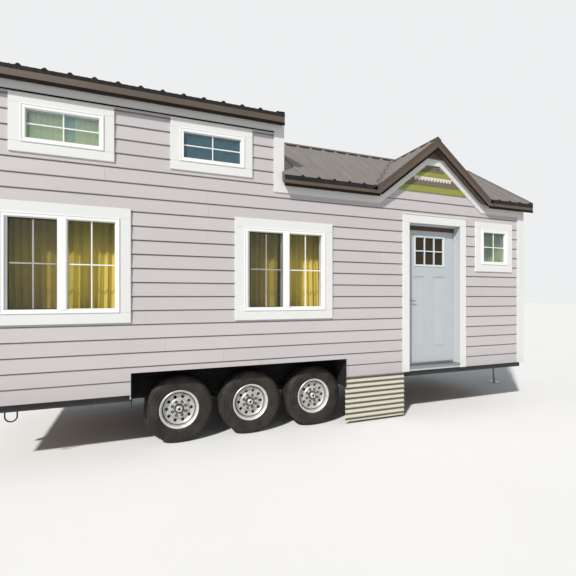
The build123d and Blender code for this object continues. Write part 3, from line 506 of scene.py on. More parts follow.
def make_room_finishes(colours):
    """Grooved boards on the walls inside, and planks on the floors."""
    walls = Finish("room_boards", colours.room, 0.6)
    board_width = 0.14
    board = walls.math("FRACT", walls.math("MULTIPLY", walls.axis("Z"), 1 / board_width), 0.0)
    off_middle = walls.math("ABSOLUTE", walls.math("SUBTRACT", board, 0.5), 0.0)
    groove = walls.spread(off_middle, 0.0, 1.0, 0.47, 0.5)
    grain = walls.patches(7.0, (0.4, 0.4, 6.0), 6.0)
    tinted = walls.mix(grain, walls.base, walls.shade(0.88))
    walls.colour_from(walls.mix(groove, tinted, walls.shade(0.45)))
    walls.bump(walls.math("SUBTRACT", 1.0, groove), 0.002)
    floor = Finish("floor_planks", colours.floor, 0.42)
    plank = floor.add(
        "ShaderNodeTexBrick",
        {
            "Vector": floor.place,
            "Scale": 1.0,
            "Brick Width": 1.2,
            "Row Height": 0.13,
            "Mortar Size": 0.0016,
            "Color1": (0.35, 0.35, 0.35, 1),
            "Color2": (0.75, 0.75, 0.75, 1),
            "Mortar": (0.0, 0.0, 0.0, 1),
        },
    )
    grain = floor.patches(6.0, (0.5, 9.0, 1.0), 7.0)
    wood = floor.mix(grain, floor.shade(1.15), floor.shade(0.68))
    tinted = floor.mix(plank.outputs["Color"], floor.shade(0.6), wood)
    floor.colour_from(floor.mix(plank.outputs["Fac"], tinted, floor.shade(0.15)))
    floor.roughness_from(floor.spread(grain, 0.36, 0.52, 0.0, 1.0))
    floor.bump(floor.math("SUBTRACT", 1.0, plank.outputs["Fac"]), 0.0015)


def make_door_finishes(colours):
    painted_wood("entry_door_paint", colours.door, 0.4, 0.00015, 0.6)
    painted_wood("door_bars", paint(206, 211, 215), 0.4, 0.0001, 0.6)
    around = painted_wood("door_frame_paint", colours.trim, 0.5, 0.0003, 0.7)
    beside = around.math("SUBTRACT", around.axis("X"), door_x)
    reveal = around.math(
        "MULTIPLY",
        around.within(beside, clear_right - door_x + 0.001),
        around.math("GREATER_THAN", around.axis("Y"), 0.002 - trim_face),
    )
    around.colour_from(around.mix(reveal, around.layer, colours.door))
    plain_metal("door_nickel", paint(150, 146, 138), 0.28, 1.0)
    # Dark brown of the door seals, which also paints the shade under the door's head.
    plain_metal("seal_and_shade_paint", paint(74, 55, 42), 0.8, 0.0, 0.0004)
    plain_metal("aluminium_sill", paint(176, 177, 176), 0.34, 1.0)
    screen = Finish("insect_screen", paint(74, 68, 56), 0.7, 0.0, Alpha=0.2)
    weave = screen.patches(3.0, detail=5.0, low=0.16, high=0.24)
    screen.links.new(weave, screen.shader.inputs["Alpha"])
    screen.bump(screen.noise(600.0, detail=1.0), 0.0001)


def make_cloth_finish(colours):
    """Woven curtain cloth, with its weave in the bump and painted shade on the upper part of the lower
    curtains.
    """
    finish = Finish("curtain_cloth", colours.curtain, 0.9)
    finish.shader.inputs["Sheen Weight"].default_value = 0.35
    finish.shader.inputs["Sheen Roughness"].default_value = 0.5
    worn = finish.patches(7.0, (1.0, 1.0, 0.25), 4.0)
    woven = finish.mix(worn, finish.shade(1.05), finish.shade(0.86))
    # The lower curtains are painted darker from about 2.12 m up to their rods: painted shade from the
    # window head.
    above = finish.ramp("Z", 2.12, 2.42)
    head = finish.math("MULTIPLY", above, finish.ramp("Z", 2.9, 3.0, 1.0, 0.0))
    finish.colour_from(finish.mix(head, woven, finish.shade(0.42)))
    threads = [
        finish.add(
            "ShaderNodeTexWave",
            {"Vector": finish.place, "Scale": 300.0, "Distortion": 1.5},
            bands_direction=way,
        ).outputs["Fac"]
        for way in ("Z", "X")
    ]
    finish.bump(finish.math("MULTIPLY", *threads), 0.0004)


def make_running_gear_finishes(colours):
    """Rubber, rim paint with painted shade in its dish, black frame paint, galvanised sheet with painted
    shade on its down-facing slopes, and zinc.
    """
    rubber = Finish("tyre_rubber", colours.tyre, 0.82)
    dusty = rubber.patches(7.0, detail=6.0, high=0.3)
    rubber.colour_from(rubber.mix(dusty, rubber.base, paint(88, 83, 78)))
    rubber.roughness_from(rubber.patches(25.0, low=0.56, high=0.74))
    rubber.bump(rubber.noise(240.0, detail=3.0), 0.0002)
    rubber.gloss(0.2)
    rim = Finish("rim_paint", colours.rim, 0.36, 0.35)
    grime = rim.spread(rim.noise(16.0, detail=7.0), 0.0, 0.45, 0.5, 0.72)
    worn = rim.mix(grime, rim.base, paint(140, 132, 120))
    # The recessed dish of each rim is painted darker: painted shade.
    deep = rim.spread(rim.math("ABSOLUTE", rim.axis("Y"), 0.0), 1.0, 0.0, 0.985, 1.022)
    rim.colour_from(rim.mix(deep, worn, rim.shade(0.74)))
    rim.roughness_from(rim.patches(20.0, low=0.3, high=0.46))
    rim.bump(rim.noise(140.0), 0.00008)
    plain_metal("frame_paint", colours.frame, 0.55, 0.1, 0.0004, dust=-0.6)
    plain_metal("rim_hub", paint(206, 205, 200), 0.3, 0.5)
    plain_metal("lug_steel", paint(112, 107, 99), 0.45, 0.6)
    plain_metal("jack_zinc", paint(158, 160, 160), 0.36, 0.9)
    sheet = Finish("galvanised_sheet", paint(203, 199, 184), 0.45, 0.15)
    spangle = sheet.add(
        "ShaderNodeTexVoronoi", {"Vector": sheet.place, "Scale": 70.0}
    ).outputs["Color"]
    grey = sheet.add("ShaderNodeSeparateColor", {"Color": spangle}).outputs["Red"]
    spangled = sheet.mix(grey, sheet.shade(0.93), sheet.base)
    # Slopes of the corrugation that face down are painted darker: painted shade.
    under = sheet.spread(sheet.upward(), 1.0, 0.0, -0.24, 0.18)
    sheet.colour_from(sheet.mix(under, spangled, paint(88, 86, 74)))
    sheet.roughness_from(sheet.spread(grey, 0.38, 0.54, 0.0, 1.0))
    sheet.bump(sheet.noise(60.0), 0.00015)


# Mesh making
class Shape:
    """Points and faces of one piece, gathered before they become a mesh."""

    def __init__(self):
        self.points = []
        self.faces = []
        self.finishes = []
        self.tones = []

    def add(self, points, faces, finish=0, tone=0.5):
        """Adds points and their faces, and gives the number of the first point."""
        start = len(self.points)
        self.points += [tuple(point) for point in points]
        self.skin(start, faces, finish, tone)
        return start

    def skin(self, start, faces, finish=0, tone=0.5):
        """Adds faces whose corners count from a starting point."""
        self.faces += [tuple(start + index for index in face) for face in faces]
        self.finishes += [finish] * len(faces)
        self.tones += [tone] * len(faces)

    def block(self, low, high, **looks):
        """A box between two corners."""
        x = (low[0], high[0])
        y = (low[1], high[1])
        z = (low[2], high[2])
        points = [(x[i], y[j], z[k]) for i in (0, 1) for j in (0, 1) for k in (0, 1)]
        faces = [
            (0, 1, 3, 2), (4, 6, 7, 5), (0, 4, 5, 1),
            (2, 3, 7, 6), (0, 2, 6, 4), (1, 5, 7, 3),
        ]
        self.add(points, faces, **looks)

    def bridge(self, near, far, **looks):
        """A closed bar between two outlines with the same number of points."""
        count = len(near)
        faces = [tuple(range(count))[::-1], tuple(range(count, 2 * count))]
        for index in range(count):
            after = (index + 1) % count
            faces.append((index, after, count + after, count + index))
        self.add(list(near) + list(far), faces, **looks)

    def rings(self, rings, closed=False, capped=True, **looks):
        """A skin through rings of points, such as a tube or a turned piece."""
        count = len(rings[0])
        points = [point for ring in rings for point in ring]
        faces = []
        pairs = len(rings) if closed else len(rings) - 1
        for row in range(pairs):
            low = row * count
            high = ((row + 1) % len(rings)) * count
            for index in range(count):
                after = (index + 1) % count
                faces.append((low + index, low + after, high + after, high + index))
        if capped and not closed:
            faces.append(tuple(range(count))[::-1])
            faces.append(tuple(range((len(rings) - 1) * count, len(points))))
        self.add(points, faces, **looks)

    def tube(self, path, radius, sides=12, **looks):
        """A round bar along a path of points."""
        path = [Vector(point) for point in path]
        rings = []
        for index, point in enumerate(path):
            before = path[max(index - 1, 0)]
            after = path[min(index + 1, len(path) - 1)]
            turn = (after - before).to_track_quat("Z", "Y")
            ring = []
            for side in range(sides):
                angle = math.tau * side / sides
                spoke = Vector((radius * math.cos(angle), radius * math.sin(angle), 0))
                ring.append(point + turn @ spoke)
            rings.append(ring)
        self.rings(rings, **looks)

    def ring_frame(self, place, outer, inner, depth, **looks):
        """A flat rectangular ring; outer and inner are (u0, u1, z0, z1)."""
        u0, u1, z0, z1 = outer
        a0, a1, b0, b1 = inner
        d0, d1 = depth
        for strip in ((u0, u1, z0, b0), (u0, u1, b1, z1), (u0, a0, b0, b1), (a1, u1, b0, b1)):
            if strip[1] - strip[0] > 1e-5 and strip[3] - strip[2] > 1e-5:
                self.panel(place, strip, (d0, d1), **looks)

    def panel(self, place, extent, depth, **looks):
        """A board on a wall; extent is (u0, u1, z0, z1)."""
        u0, u1, z0, z1 = extent
        corners = ((u0, z0), (u1, z0), (u1, z1), (u0, z1))
        near = [place(u, depth[0], z) for u, z in corners]
        far = [place(u, depth[1], z) for u, z in corners]
        self.bridge(near, far, **looks)


def make_piece(name, shape, finishes, body="house", slot=None, bevel=0.0, angle=35.0, segments=2):
    """Turns a shape into an object that rides on a body."""
    mesh = bpy.data.meshes.new(name)
    mesh.from_pydata(shape.points, [], shape.faces)
    for finish in finishes:
        mesh.materials.append(bpy.data.materials[finish])
    mesh.polygons.foreach_set("material_index", shape.finishes)
    tone = mesh.attributes.new("tone", "FLOAT", "FACE")
    tone.data.foreach_set("value", shape.tones)
    tidy = bmesh.new()
    tidy.from_mesh(mesh)
    bmesh.ops.recalc_face_normals(tidy, faces=tidy.faces)
    tidy.to_mesh(mesh)
    tidy.free()
    mesh.polygons.foreach_set("use_smooth", [True] * len(mesh.polygons))
    mesh.set_sharp_from_angle(angle=math.radians(angle))
    piece = bpy.data.objects.new(name, mesh)
    bpy.context.scene.collection.objects.link(piece)
    if bevel > 0.0:
        edge = piece.modifiers.new("edges", "BEVEL")
        edge.width = bevel
        edge.segments = segments
        edge.limit_method = "ANGLE"
        edge.angle_limit = math.radians(angle)
    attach(piece, body)
    return piece


def turns(sides):
    """The angles of a circle cut into equal steps."""
    return [math.tau * index / sides for index in range(sides)]


def inset(extent, amount):
    """An extent (u0, u1, z0, z1) made smaller by an amount on each side."""
    u0, u1, z0, z1 = extent
    return (u0 + amount, u1 - amount, z0 + amount, z1 - amount)


# Walls as places: u runs along the wall, depth points out of it
def front(u, depth, z):
    return (u, -wall_face - depth, z)


def back(u, depth, z):
    return (u, wall_face + depth, z)


def left(u, depth, z):
    return (left_end - depth, u, z)


def right(u, depth, z):
    return (right_end + depth, u, z)


class Opening:
    """A window: its middle, the size outside its frame, and its casing."""

    def __init__(self, station, middle, width, height, casing, panes):
        self.x = at(station)
        self.z = middle
        self.half = width / 2
        self.rise = height / 2
        self.casing = casing
        self.panes = panes

    def frame(self, grow=0.0):
        """The extent of the frame, or of something larger round it."""
        extent = (self.x - self.half, self.x + self.half, self.z - self.rise, self.z + self.rise)
        return inset(extent, -grow)


bar = 0.042
mullion = 0.086
frame_front = trim_depth + 0.008
glass_front = frame_front - 0.030
lower_windows = [
    Opening(0.856, 2.035, 1.067, 1.000, 0.110, 2),
    Opening(3.282, 2.035, 1.067, 1.000, 0.110, 2),
]
loft_windows = [
    Opening(0.867, 3.417, 0.742, 0.377, 0.100, 1),
    Opening(2.378, 3.417, 0.742, 0.377, 0.100, 1),
]
entry_window = Opening(6.768, 2.471, 0.540, 0.540, 0.110, 1)
front_openings = lower_windows + loft_windows + [entry_window]
back_openings = lower_windows + loft_windows
door_casing = 0.110
door_head_casing = 0.120
door_gap = 0.008
clear_left = door_low.x - door_gap
clear_right = door_high.x + door_gap
clear_head = door_high.z + door_gap


def subtract(spans, hole):
    """Spans of a course less a hole. A span has two ends, each low and high."""
    kept = []
    for start, end in spans:
        if hole[0] >= max(end) or hole[1] <= min(start):
            kept.append((start, end))
            continue
        if hole[0] > max(start):
            kept.append((start, (hole[0], hole[0])))
        if hole[1] < min(end):
            kept.append(((hole[1], hole[1]), end))
    return kept


def lap_wall(shape, sizes, place, zones, holes, seed):
    """Courses of lap boards over a wall's zones and round its holes.

    A zone is its lowest and highest level and what gives its ends at a level.
    """
    chance = random.Random(seed)
    limits = [z for zone in zones for z in zone[:2]]
    limits += [z for hole in holes for z in hole[2:]]
    top = max(zone[1] for zone in zones)
    sliver = 0.001
    low = siding_base
    while low < top - 0.005:
        high = min(low + sizes.course, top)
        inside = {z for z in limits if low + sliver < z < high - sliver}
        levels = sorted({low, high} | inside)
        joint_start = chance.uniform(0.3, sizes.board)
        tones = [chance.random() for board in range(8)]
        for under, over in zip(levels, levels[1:]):
            middle = (under + over) / 2
            for base, limit, ends in zones:
                if not base < middle < limit:
                    continue
                spans = [tuple(zip(ends(under), ends(over)))]
                for hole in holes:
                    if hole[2] < middle < hole[3]:
                        spans = subtract(spans, hole)
                for span in spans:
                    add_boards(shape, sizes, place, low, (under, over), span, joint_start, tones)
        low = high


def add_boards(shape, sizes, place, base, levels, span, joint_start, tones):
    """The boards of one course in one span, with joints between them."""
    start, end = span
    shortest = 0.05
    joints = [left_end + joint_start + count * sizes.board for count in range(-2, 4)]
    edges = [start]
    for x in joints:
        if max(start) + shortest < x < min(end) - shortest:
            edges += [(x - sizes.joint / 2,) * 2, (x + sizes.joint / 2,) * 2]
    edges.append(end)
    for index in range(0, len(edges), 2):
        tone = tones[index // 2 % len(tones)]
        add_board(shape, sizes, place, base, levels, edges[index:index + 2], tone)


def add_board(shape, sizes, place, base, levels, edges, tone):
    """One tapered board, or the part of it between two levels."""
    under, over = levels
    taper = (sizes.butt - sizes.tip) / sizes.course
    depth_under = sizes.butt - (under - base) * taper
    depth_over = sizes.butt - (over - base) * taper
    outline = [(0.0, under), (depth_under, under), (depth_over, over), (0.0, over)]
    if under == base:
        outline[1:2] = [(depth_under - 0.002, under), (depth_under, under + 0.003)]
    (left_under, left_over), (right_under, right_over) = edges
    near = []
    far = []
    for depth, z in outline:
        share = (z - under) / (over - under)
        near.append(place(left_under + (left_over - left_under) * share, depth, z))
        far.append(place(right_under + (right_over - right_under) * share, depth, z))
    shape.bridge(near, far, tone=tone)


def straight_ends(start, end):
    """A zone's ends where they stand upright."""

    def ends(z):
        return (start, end)

    return ends


def sloping_ends(limit, roof_depth, pitch):
    """A zone's ends on an end wall, inside its corner boards and under its roof."""

    def ends(z):
        reach = min(limit, (ridge_height - roof_depth - z) / pitch)
        return (-reach, reach)

    return ends


def rake_reach(z, drop):
    """Half the width inside the entry gable at a height, below its roof."""
    return (entry_peak - entry_roof_depth - drop - z) / entry_pitch


class TINYHOUSE_OT_finishes(Operator):
    """Makes every material of the house and dresses the solid parts"""

    bl_idname = "tiny_house.finishes"
    bl_label = "Finishes"

    def execute(self, context):
        colours = context.scene.tiny_house_colours
        make_siding_finish(colours, context.scene.tiny_house_siding.course)
        make_trim_finish(colours)
        make_vinyl_finish(colours)
        make_roof_finishes(colours)
        make_ceiling_finish(colours)
        make_glass_finish()
        make_room_finishes(colours)
        make_door_finishes(colours)
        make_cloth_finish(colours)
        make_running_gear_finishes(colours)
        coats = {
            "room_boards": (
                "front_wall", "front_wall_right", "front_gable_wall", "back_wall",
                "loft_walls", "end_walls", "loft_side_wall", "wall_feet",
            ),
            "roof_solid": (
                "loft_roof_front", "loft_roof_back", "low_roof_front",
                "low_roof_back", "entry_roof",
            ),
            "fascia_metal": ("ridge_caps",),
            "trim_paint": ("trim_boards",),
            "door_frame_paint": ("door_frame",),
            "window_vinyl": ("front_windows", "back_windows"),
            "window_glass": ("window_glass",),
            "door_pane": ("door_glass",),
            "floor_planks": ("main_floor", "loft_floor"),
            "entry_door_paint": ("door_leaf",),
            "door_nickel": ("door_hinges", "curtain_rods"),
            "frame_paint": (
                "frame_rails", "cross_members", "tie_rings", "tongue_rails",
                "hitch_coupler", "axle_beams", "leaf_springs",
            ),
            "jack_zinc": ("tongue_jack",),
            # The wheel wells get the near-black finish as painted shade inside them.
            "near_black_and_painted_shade": ("wheel_wells",),
            "galvanised_sheet": ("skirt_panel",),
        }
        for finish, nodes in coats.items():
            for node in nodes:
                part = frame["nodes"][node]
                part.data.materials.clear()
                part.data.materials.append(bpy.data.materials[finish])
        return {"FINISHED"}


class TINYHOUSE_OT_siding(Operator):
    """Lays the lap siding on the four sides"""

    bl_idname = "tiny_house.siding"
    bl_label = "Siding"
    entry_top = 3.215
    peak_gap = 0.010

    def execute(self, context):
        sizes = context.scene.tiny_house_siding
        cover = sizes.cover
        corner = corner_board - cover
        below = siding_base - 1.0
        well_hole = (well_low.x, well_high.x, below, well_high.z)
        door_hole = (
            clear_left - door_casing + cover,
            clear_right + door_casing - cover,
            below,
            clear_head + door_head_casing - cover,
        )
        front_holes = [opening.frame(opening.casing - cover) for opening in front_openings]
        back_holes = [opening.frame(opening.casing - cover) for opening in back_openings]

        def entry_ends(z):
            reach = rake_reach(z, rake_depth) + cover
            return (entry_x - reach, entry_x + reach)

        split = low_frieze_base + cover
        zones = [
            (siding_base, split, straight_ends(left_end + corner, right_end - corner)),
            (split, loft_frieze_base + cover, straight_ends(left_end + corner, loft_end - corner)),
        ]
        entry_zone = (split, self.entry_top, entry_ends)
        right_zone = self.end_zone(corner, low_roof_depth, low_pitch)
        left_zone = self.end_zone(corner, loft_roof_depth, loft_pitch)
        walls = {
            "front_siding": (front, zones + [entry_zone], front_holes + [well_hole, door_hole], 11),
            "back_siding": (back, zones, back_holes + [well_hole], 23),
            "right_siding": (right, [right_zone], [], 31),
            "left_siding": (left, [left_zone], [], 43),
        }
        for name, (place, zones, holes, seed) in walls.items():
            shape = Shape()
            lap_wall(shape, sizes, place, zones, holes, seed)
            make_piece(name, shape, ["siding_paint"], slot="siding")
        return {"FINISHED"}

    def end_zone(self, corner, roof_depth, pitch):
        """An end wall, from the sill to just under its ridge."""
        peak = ridge_height - roof_depth - self.peak_gap
        return (siding_base, peak, sloping_ends(wall_face - corner, roof_depth, pitch))


class TINYHOUSE_OT_gable(Operator):
    """Fills the entry gable with its shingles, lime bands and scalloped lace"""

    bl_idname = "tiny_house.gable"
    bl_label = "Entry gable"
    base = 3.210
    low_lime_top = 3.297
    lace_base = 3.348
    lace_top = 3.437
    high_lime_top = 3.500
    cover = 0.012

    def execute(self, context):
        bands = [
            ("gable_low_lime", "lime_paint", self.base, self.low_lime_top, 0.022, 0.006),
            ("gable_brown_board", "shingle_paint", self.low_lime_top, self.lace_base, 0.012, 0.001),
            ("gable_brown_backing", "shingle_paint", self.lace_base, self.lace_top, 0.009, 0.001),
            ("gable_high_lime", "lime_paint", self.lace_top, self.high_lime_top, 0.022, 0.006),
        ]
        for name, finish, low, high, depth, bevel in bands:
            shape = Shape()
            self.sloped_board(shape, low, high, depth)
            make_piece(name, shape, [finish], slot="gable_siding", bevel=bevel)
        self.shingles(self.high_lime_top, collar_base + 0.01)
        self.lace()
        return {"FINISHED"}

    def sloped_board(self, shape, low, high, depth):
        """A level board whose ends follow the rakes."""
        near = []
        far = []
        for d, z in ((0.0, low), (depth, low), (depth, high), (0.0, high)):
            reach = rake_reach(z, rake_depth) + self.cover
            near.append(front(entry_x - reach, d, z))
            far.append(front(entry_x + reach, d, z))
        shape.bridge(near, far)

    def shingles(self, low, high):
        """Two rows of narrow shingles, each a little off its neighbours."""
        chance = random.Random(5)
        shape = Shape()
        width = 0.055
        joint = 0.0025
        lap = 0.004
        taper = 0.006
        row_height = (high - low) / 2
        for row in range(2):
            z0 = low + row * row_height
            z1 = z0 + row_height + lap
            reach = rake_reach(z0, rake_depth) + self.cover
            top_reach = rake_reach(z1, rake_depth) + 0.02
            count = math.ceil(2 * reach / width)
            for index in range(count):
                u0 = -reach + index * 2 * reach / count
                u1 = u0 + 2 * reach / count - joint
                depth = chance.uniform(0.010, 0.014)
                sides = []
                for u in (u0, u1):
                    top = max(-top_reach, min(top_reach, u))
                    side = [front(entry_x + u, d, z0) for d in (0.0, depth)]
                    side += [front(entry_x + top, d, z1) for d in (depth - taper, 0.0)]
                    sides.append(side)
                if sides[1][2][0] - sides[0][2][0] > 0.001:
                    shape.bridge(*sides, tone=chance.random())
        make_piece("gable_shingles", shape, ["shingle_paint"], slot="gable_siding")

    def lace(self):
        """A white strip with pointed scallops along its lower edge."""
        shape = Shape()
        tooth = 0.056
        band = 0.018
        point = 0.046
        steps = 10
        depths = (0.009, 0.016)
        high = self.lace_top
        foot = high - band
        half = rake_reach(foot, rake_depth)
        count = int(2 * half / tooth)
        start = entry_x - count * tooth / 2
        outlines = []
        for index in range(count):
            edge = []
            for step in range(steps + 1):
                share = step / steps
                swing = abs(math.sin(math.pi * share)) ** 0.7
                edge.append((start + (index + share) * tooth, foot - swing * point))
            outlines.append([(start + index * tooth, high), *edge, (start + (index + 1) * tooth, high)])
        for side in (-1, 1):
            inner = entry_x + side * count * tooth / 2
            outer_foot = entry_x + side * half
            outer_top = entry_x + side * rake_reach(high, rake_depth)
            outlines.append([(inner, foot), (outer_foot, foot), (outer_top, high), (inner, high)])
        for outline in outlines:
            near, far = [[front(u, depth, z) for u, z in outline] for depth in depths]
            shape.bridge(near, far)
        make_piece("gable_lace", shape, ["lace_paint"], slot="white_trim", bevel=0.0008, segments=1)


def rib_columns(sizes, start, end, first):
    """Points across a ribbed sheet: a place, a height and whether it is a tall rib."""
    edge_clear = 0.020
    low_rib_foot = 0.016

    def low_ribs(centre, shares):
        places = [centre + sizes.pitch * share for share in shares]
        return [
            (place + step, sizes.swage if step == 0 else 0.0, False)
            for place in places
            if start + edge_clear < place < end - edge_clear
            for step in (-low_rib_foot, 0, low_rib_foot)
        ]

    centre = start + first
    columns = [(start, 0.0, False)] + low_ribs(centre, (-2 / 3, -1 / 3))
    while centre + sizes.base / 2 < end:
        columns += [
            (centre - sizes.base / 2, 0.0, False),
            (centre - sizes.top / 2, sizes.height, True),
            (centre + sizes.top / 2, sizes.height, True),
            (centre + sizes.base / 2, 0.0, False),
        ]
        columns += low_ribs(centre, (1 / 3, 2 / 3))
        centre += sizes.pitch
    columns.append((end, 0.0, False))
    return [column for column in columns if column[0] >= start]


def add_sheet(shape, sizes, columns, run, surface):
    """A ribbed sheet. run(u) gives its lower and upper ends at a column."""
    points = []
    for u, height, is_rib in columns:
        for v in run(u):
            x, y, z = surface(u, v)
            points.append((x, y, z + sizes.sheet + height))
            points.append((x, y, z))
    faces = []
    foam = []
    for index in range(len(columns) - 1):
        a = 4 * index
        b = a + 4
        faces += [(a, b, b + 2, a + 2), (a + 1, a + 3, b + 3, b + 1), (a + 2, b + 2, b + 3, a + 3)]
        is_ribbed = columns[index][2] or columns[index + 1][2]
        (foam if is_ribbed else faces).append((a, a + 1, b + 1, b))
    last = 4 * (len(columns) - 1)
    faces += [(0, 2, 3, 1), (last, last + 1, last + 3, last + 2)]
    start = shape.add(points, faces)
    shape.skin(start, foam, finish=1)


def low_top(y):
    return ridge_height - abs(y) * low_pitch


def loft_top(y):
    return ridge_height - abs(y) * loft_pitch


def valley_reach(x):
    """Distance from the ridge at which the entry gable meets the low roof."""
    return (ridge_height - entry_peak + abs(x - entry_x) * entry_pitch) / low_pitch


def sloped_strip(shape, top, y0, y1, x0, x1, lift0, lift1, **looks):
    """A strip that follows a roof slope between two heights over it."""
    near = [(x0, y, top(y) + lift) for y, lift in ((y0, lift0), (y1, lift0), (y1, lift1), (y0, lift1))]
    far = [(x1, y, z) for x, y, z in near]
    shape.bridge(near, far, **looks)


class TINYHOUSE_OT_roof(Operator):
    """Lays the ribbed roof sheets and their folded trims"""

    bl_idname = "tiny_house.roof"
    bl_label = "Roof"
    cap_lap = 0.020

    def execute(self, context):
        sizes = context.scene.tiny_house_roof
        self.slopes(sizes)
        self.entry_slopes(sizes)
        self.eave_shade_strips(sizes)
        self.verge_trims(sizes)
        self.closures(sizes)
        self.rake_trims(sizes)
        self.valley_flashing()
        return {"FINISHED"}

    def lay(self, name, sizes, columns, run, surface):
        """One ribbed sheet, which stands for the solid ribs under it."""
        shape = Shape()
        add_sheet(shape, sizes, columns, run, surface)
        finishes = ["roof_sheet", "near_black_and_painted_shade"]
        piece = make_piece(name, shape, finishes, slot="roof_metal", angle=20.0)
        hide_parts("roof_ribs")

    def slopes(self, sizes):
        """The sheets of the two main roofs."""
        spans = [
            ("loft_sheet", loft_top, roof_left, loft_end, 0.1825),
            ("low_sheet", low_top, loft_end, roof_right, 0.2375),
        ]
        for name, top, x0, x1, first in spans:
            for side, word in ((-1, "front"), (1, "back")):
                columns = rib_columns(sizes, x0, x1, first)
                self.slope(word + "_" + name, sizes, columns, side, top)

    def slope(self, name, sizes, columns, side, top):
        """One main slope; the low front one ends at the valleys of the entry gable."""
        cap = ridge_cap_reach - self.cap_lap
        eave = eave_face + sizes.overhang
        cut = side < 0 and top is low_top
        if cut:
            corner = (eave_face * low_pitch - (ridge_height - entry_peak)) / entry_pitch
            for sign in (-1, 0, 1):
                self.add_kink(columns, entry_x + sign * corner)

        def run(u):
            start = min(eave, valley_reach(u)) if cut else eave
            return (max(start, cap + 0.001), cap)

        def surface(u, v):
            return (u, side * v, top(v))

        self.lay(name, sizes, columns, run, surface)

    def add_kink(self, columns, place):
        """Adds a column where the sheet's lower end turns."""
        for index in range(len(columns) - 1):
            here, after = columns[index], columns[index + 1]
            if here[0] < place < after[0]:
                share = (place - here[0]) / (after[0] - here[0])
                height = here[1] + (after[1] - here[1]) * share
                columns.insert(index + 1, (place, height, here[2] and after[2]))
                return

    def entry_slopes(self, sizes):
        """The two sheets of the entry gable, which run back into the low roof."""
        cap = entry_cap_reach - self.cap_lap

        def run(u):
            reach = (entry_peak - low_top(u)) / entry_pitch
            return (max(reach, cap + 0.001), cap)

        for side, word in ((-1, "left"), (1, "right")):
            columns = rib_columns(sizes, -eave_face - 0.002, entry_ridge_end - 0.02, 0.112)

            def surface(u, v):
                return (entry_x + side * v, u, entry_peak - v * entry_pitch)

            self.lay("entry_" + word + "_sheet", sizes, columns, run, surface)

    def eave_shade_strips(self, sizes):
        """Near-black strips along the top and the foot of each eave: painted shadow under the sheets'
        edge, and a board at the fascia's foot painted near-black as painted shade.
        """
        shape = Shape()
        rake_foot = (entry_peak - entry_roof_depth - low_eave_height + low_roof_depth) / entry_pitch
        loft = (loft_top, loft_roof_depth, sizes.gap)
        low = (low_top, low_roof_depth, sizes.low_gap)
        loft_run = (roof_left, loft_end)
        low_run = (loft_end, roof_right)
        runs = [
            (loft, -1, loft_run, loft_run),
            (loft, 1, loft_run, loft_run),
            (low, 1, low_run, low_run),
            (low, -1, (loft_end, entry_x - valley_foot), (loft_end, entry_x - rake_foot)),
            (low, -1, (entry_x + valley_foot, roof_right), (entry_x + rake_foot, roof_right)),
        ]
        for (top, depth, gap), side, upper, lower in runs:
            y0, y1 = sorted((side * eave_face, side * (eave_face + sizes.flashing)))
            z = top(eave_face)
            foot = z - depth - sizes.drop
            shape.block((upper[0], y0, z - gap), (upper[1], y1, z))
            shape.block((lower[0], y0, foot), (lower[1], y1, foot + sizes.foot + sizes.drop), finish=1)
        finishes = ["near_black_and_painted_shade", "painted_shade_strip"]
        make_piece("eave_shade_strips", shape, finishes, slot="roof_metal", bevel=0.0006, segments=1)

    def verge_trims(self, sizes):
        """Folded trims up the ends of the roofs, with a near-black strip of painted shade at their foot.
        """
        shape = Shape()
        thick = 0.002
        cover = 0.062
        fold = 0.052
        over = sizes.height + thick
        ends = [
            (loft_top, roof_left, 1, loft_roof_depth),
            (loft_top, loft_end, -1, loft_roof_depth),
            (low_top, roof_right, -1, low_roof_depth),
        ]
        for top, x, inward, depth in ends:
            outer = x - inward * thick
            for side in (-1, 1):
                y0, y1 = sorted((0.0, side * eave_face))
                x0, x1 = sorted((outer, x + inward * cover))
                sloped_strip(shape, top, y0, y1, x0, x1, over - thick, over)
                x0, x1 = sorted((outer, x))
                sloped_strip(shape, top, y0, y1, x0, x1, -fold, over)
                # The lowest strip is painted near-black as painted shade at the fascia's foot.
                sloped_strip(shape, top, y0, y1, x0, x1, -depth, -depth + sizes.foot, finish=1)
        finishes = ["fascia_metal", "painted_shade_strip"]
        make_piece("verge_trims", shape, finishes, slot="roof_metal", bevel=0.0006, segments=1)

    def closures(self, sizes):
        """Dark closure strips between the ribs, along the edges of the ridge caps."""
        shape = Shape()
        cap, thick = ridge_cap_reach, 0.004
        tall = sizes.height + 0.001
        for top, x0, x1 in ((loft_top, roof_left, loft_end), (low_top, loft_end, roof_right)):
            for side in (-1, 1):
                y0, y1 = sorted((side * cap, side * (cap + thick)))
                sloped_strip(shape, top, y0, y1, x0, x1, 0.0, tall)
        cap = entry_cap_reach
        for side in (-1, 1):
            near = []
            for reach, lift in ((cap, 0.0), (cap + thick, 0.0), (cap + thick, tall), (cap, tall)):
                z = entry_peak - reach * entry_pitch + lift
                near.append((entry_x + side * reach, -eave_face, z))
            far = [(x, entry_ridge_end - 0.08, z) for x, y, z in near]
            shape.bridge(near, far)
        make_piece("ridge_closures", shape, ["near_black_and_painted_shade"], slot="roof_metal")

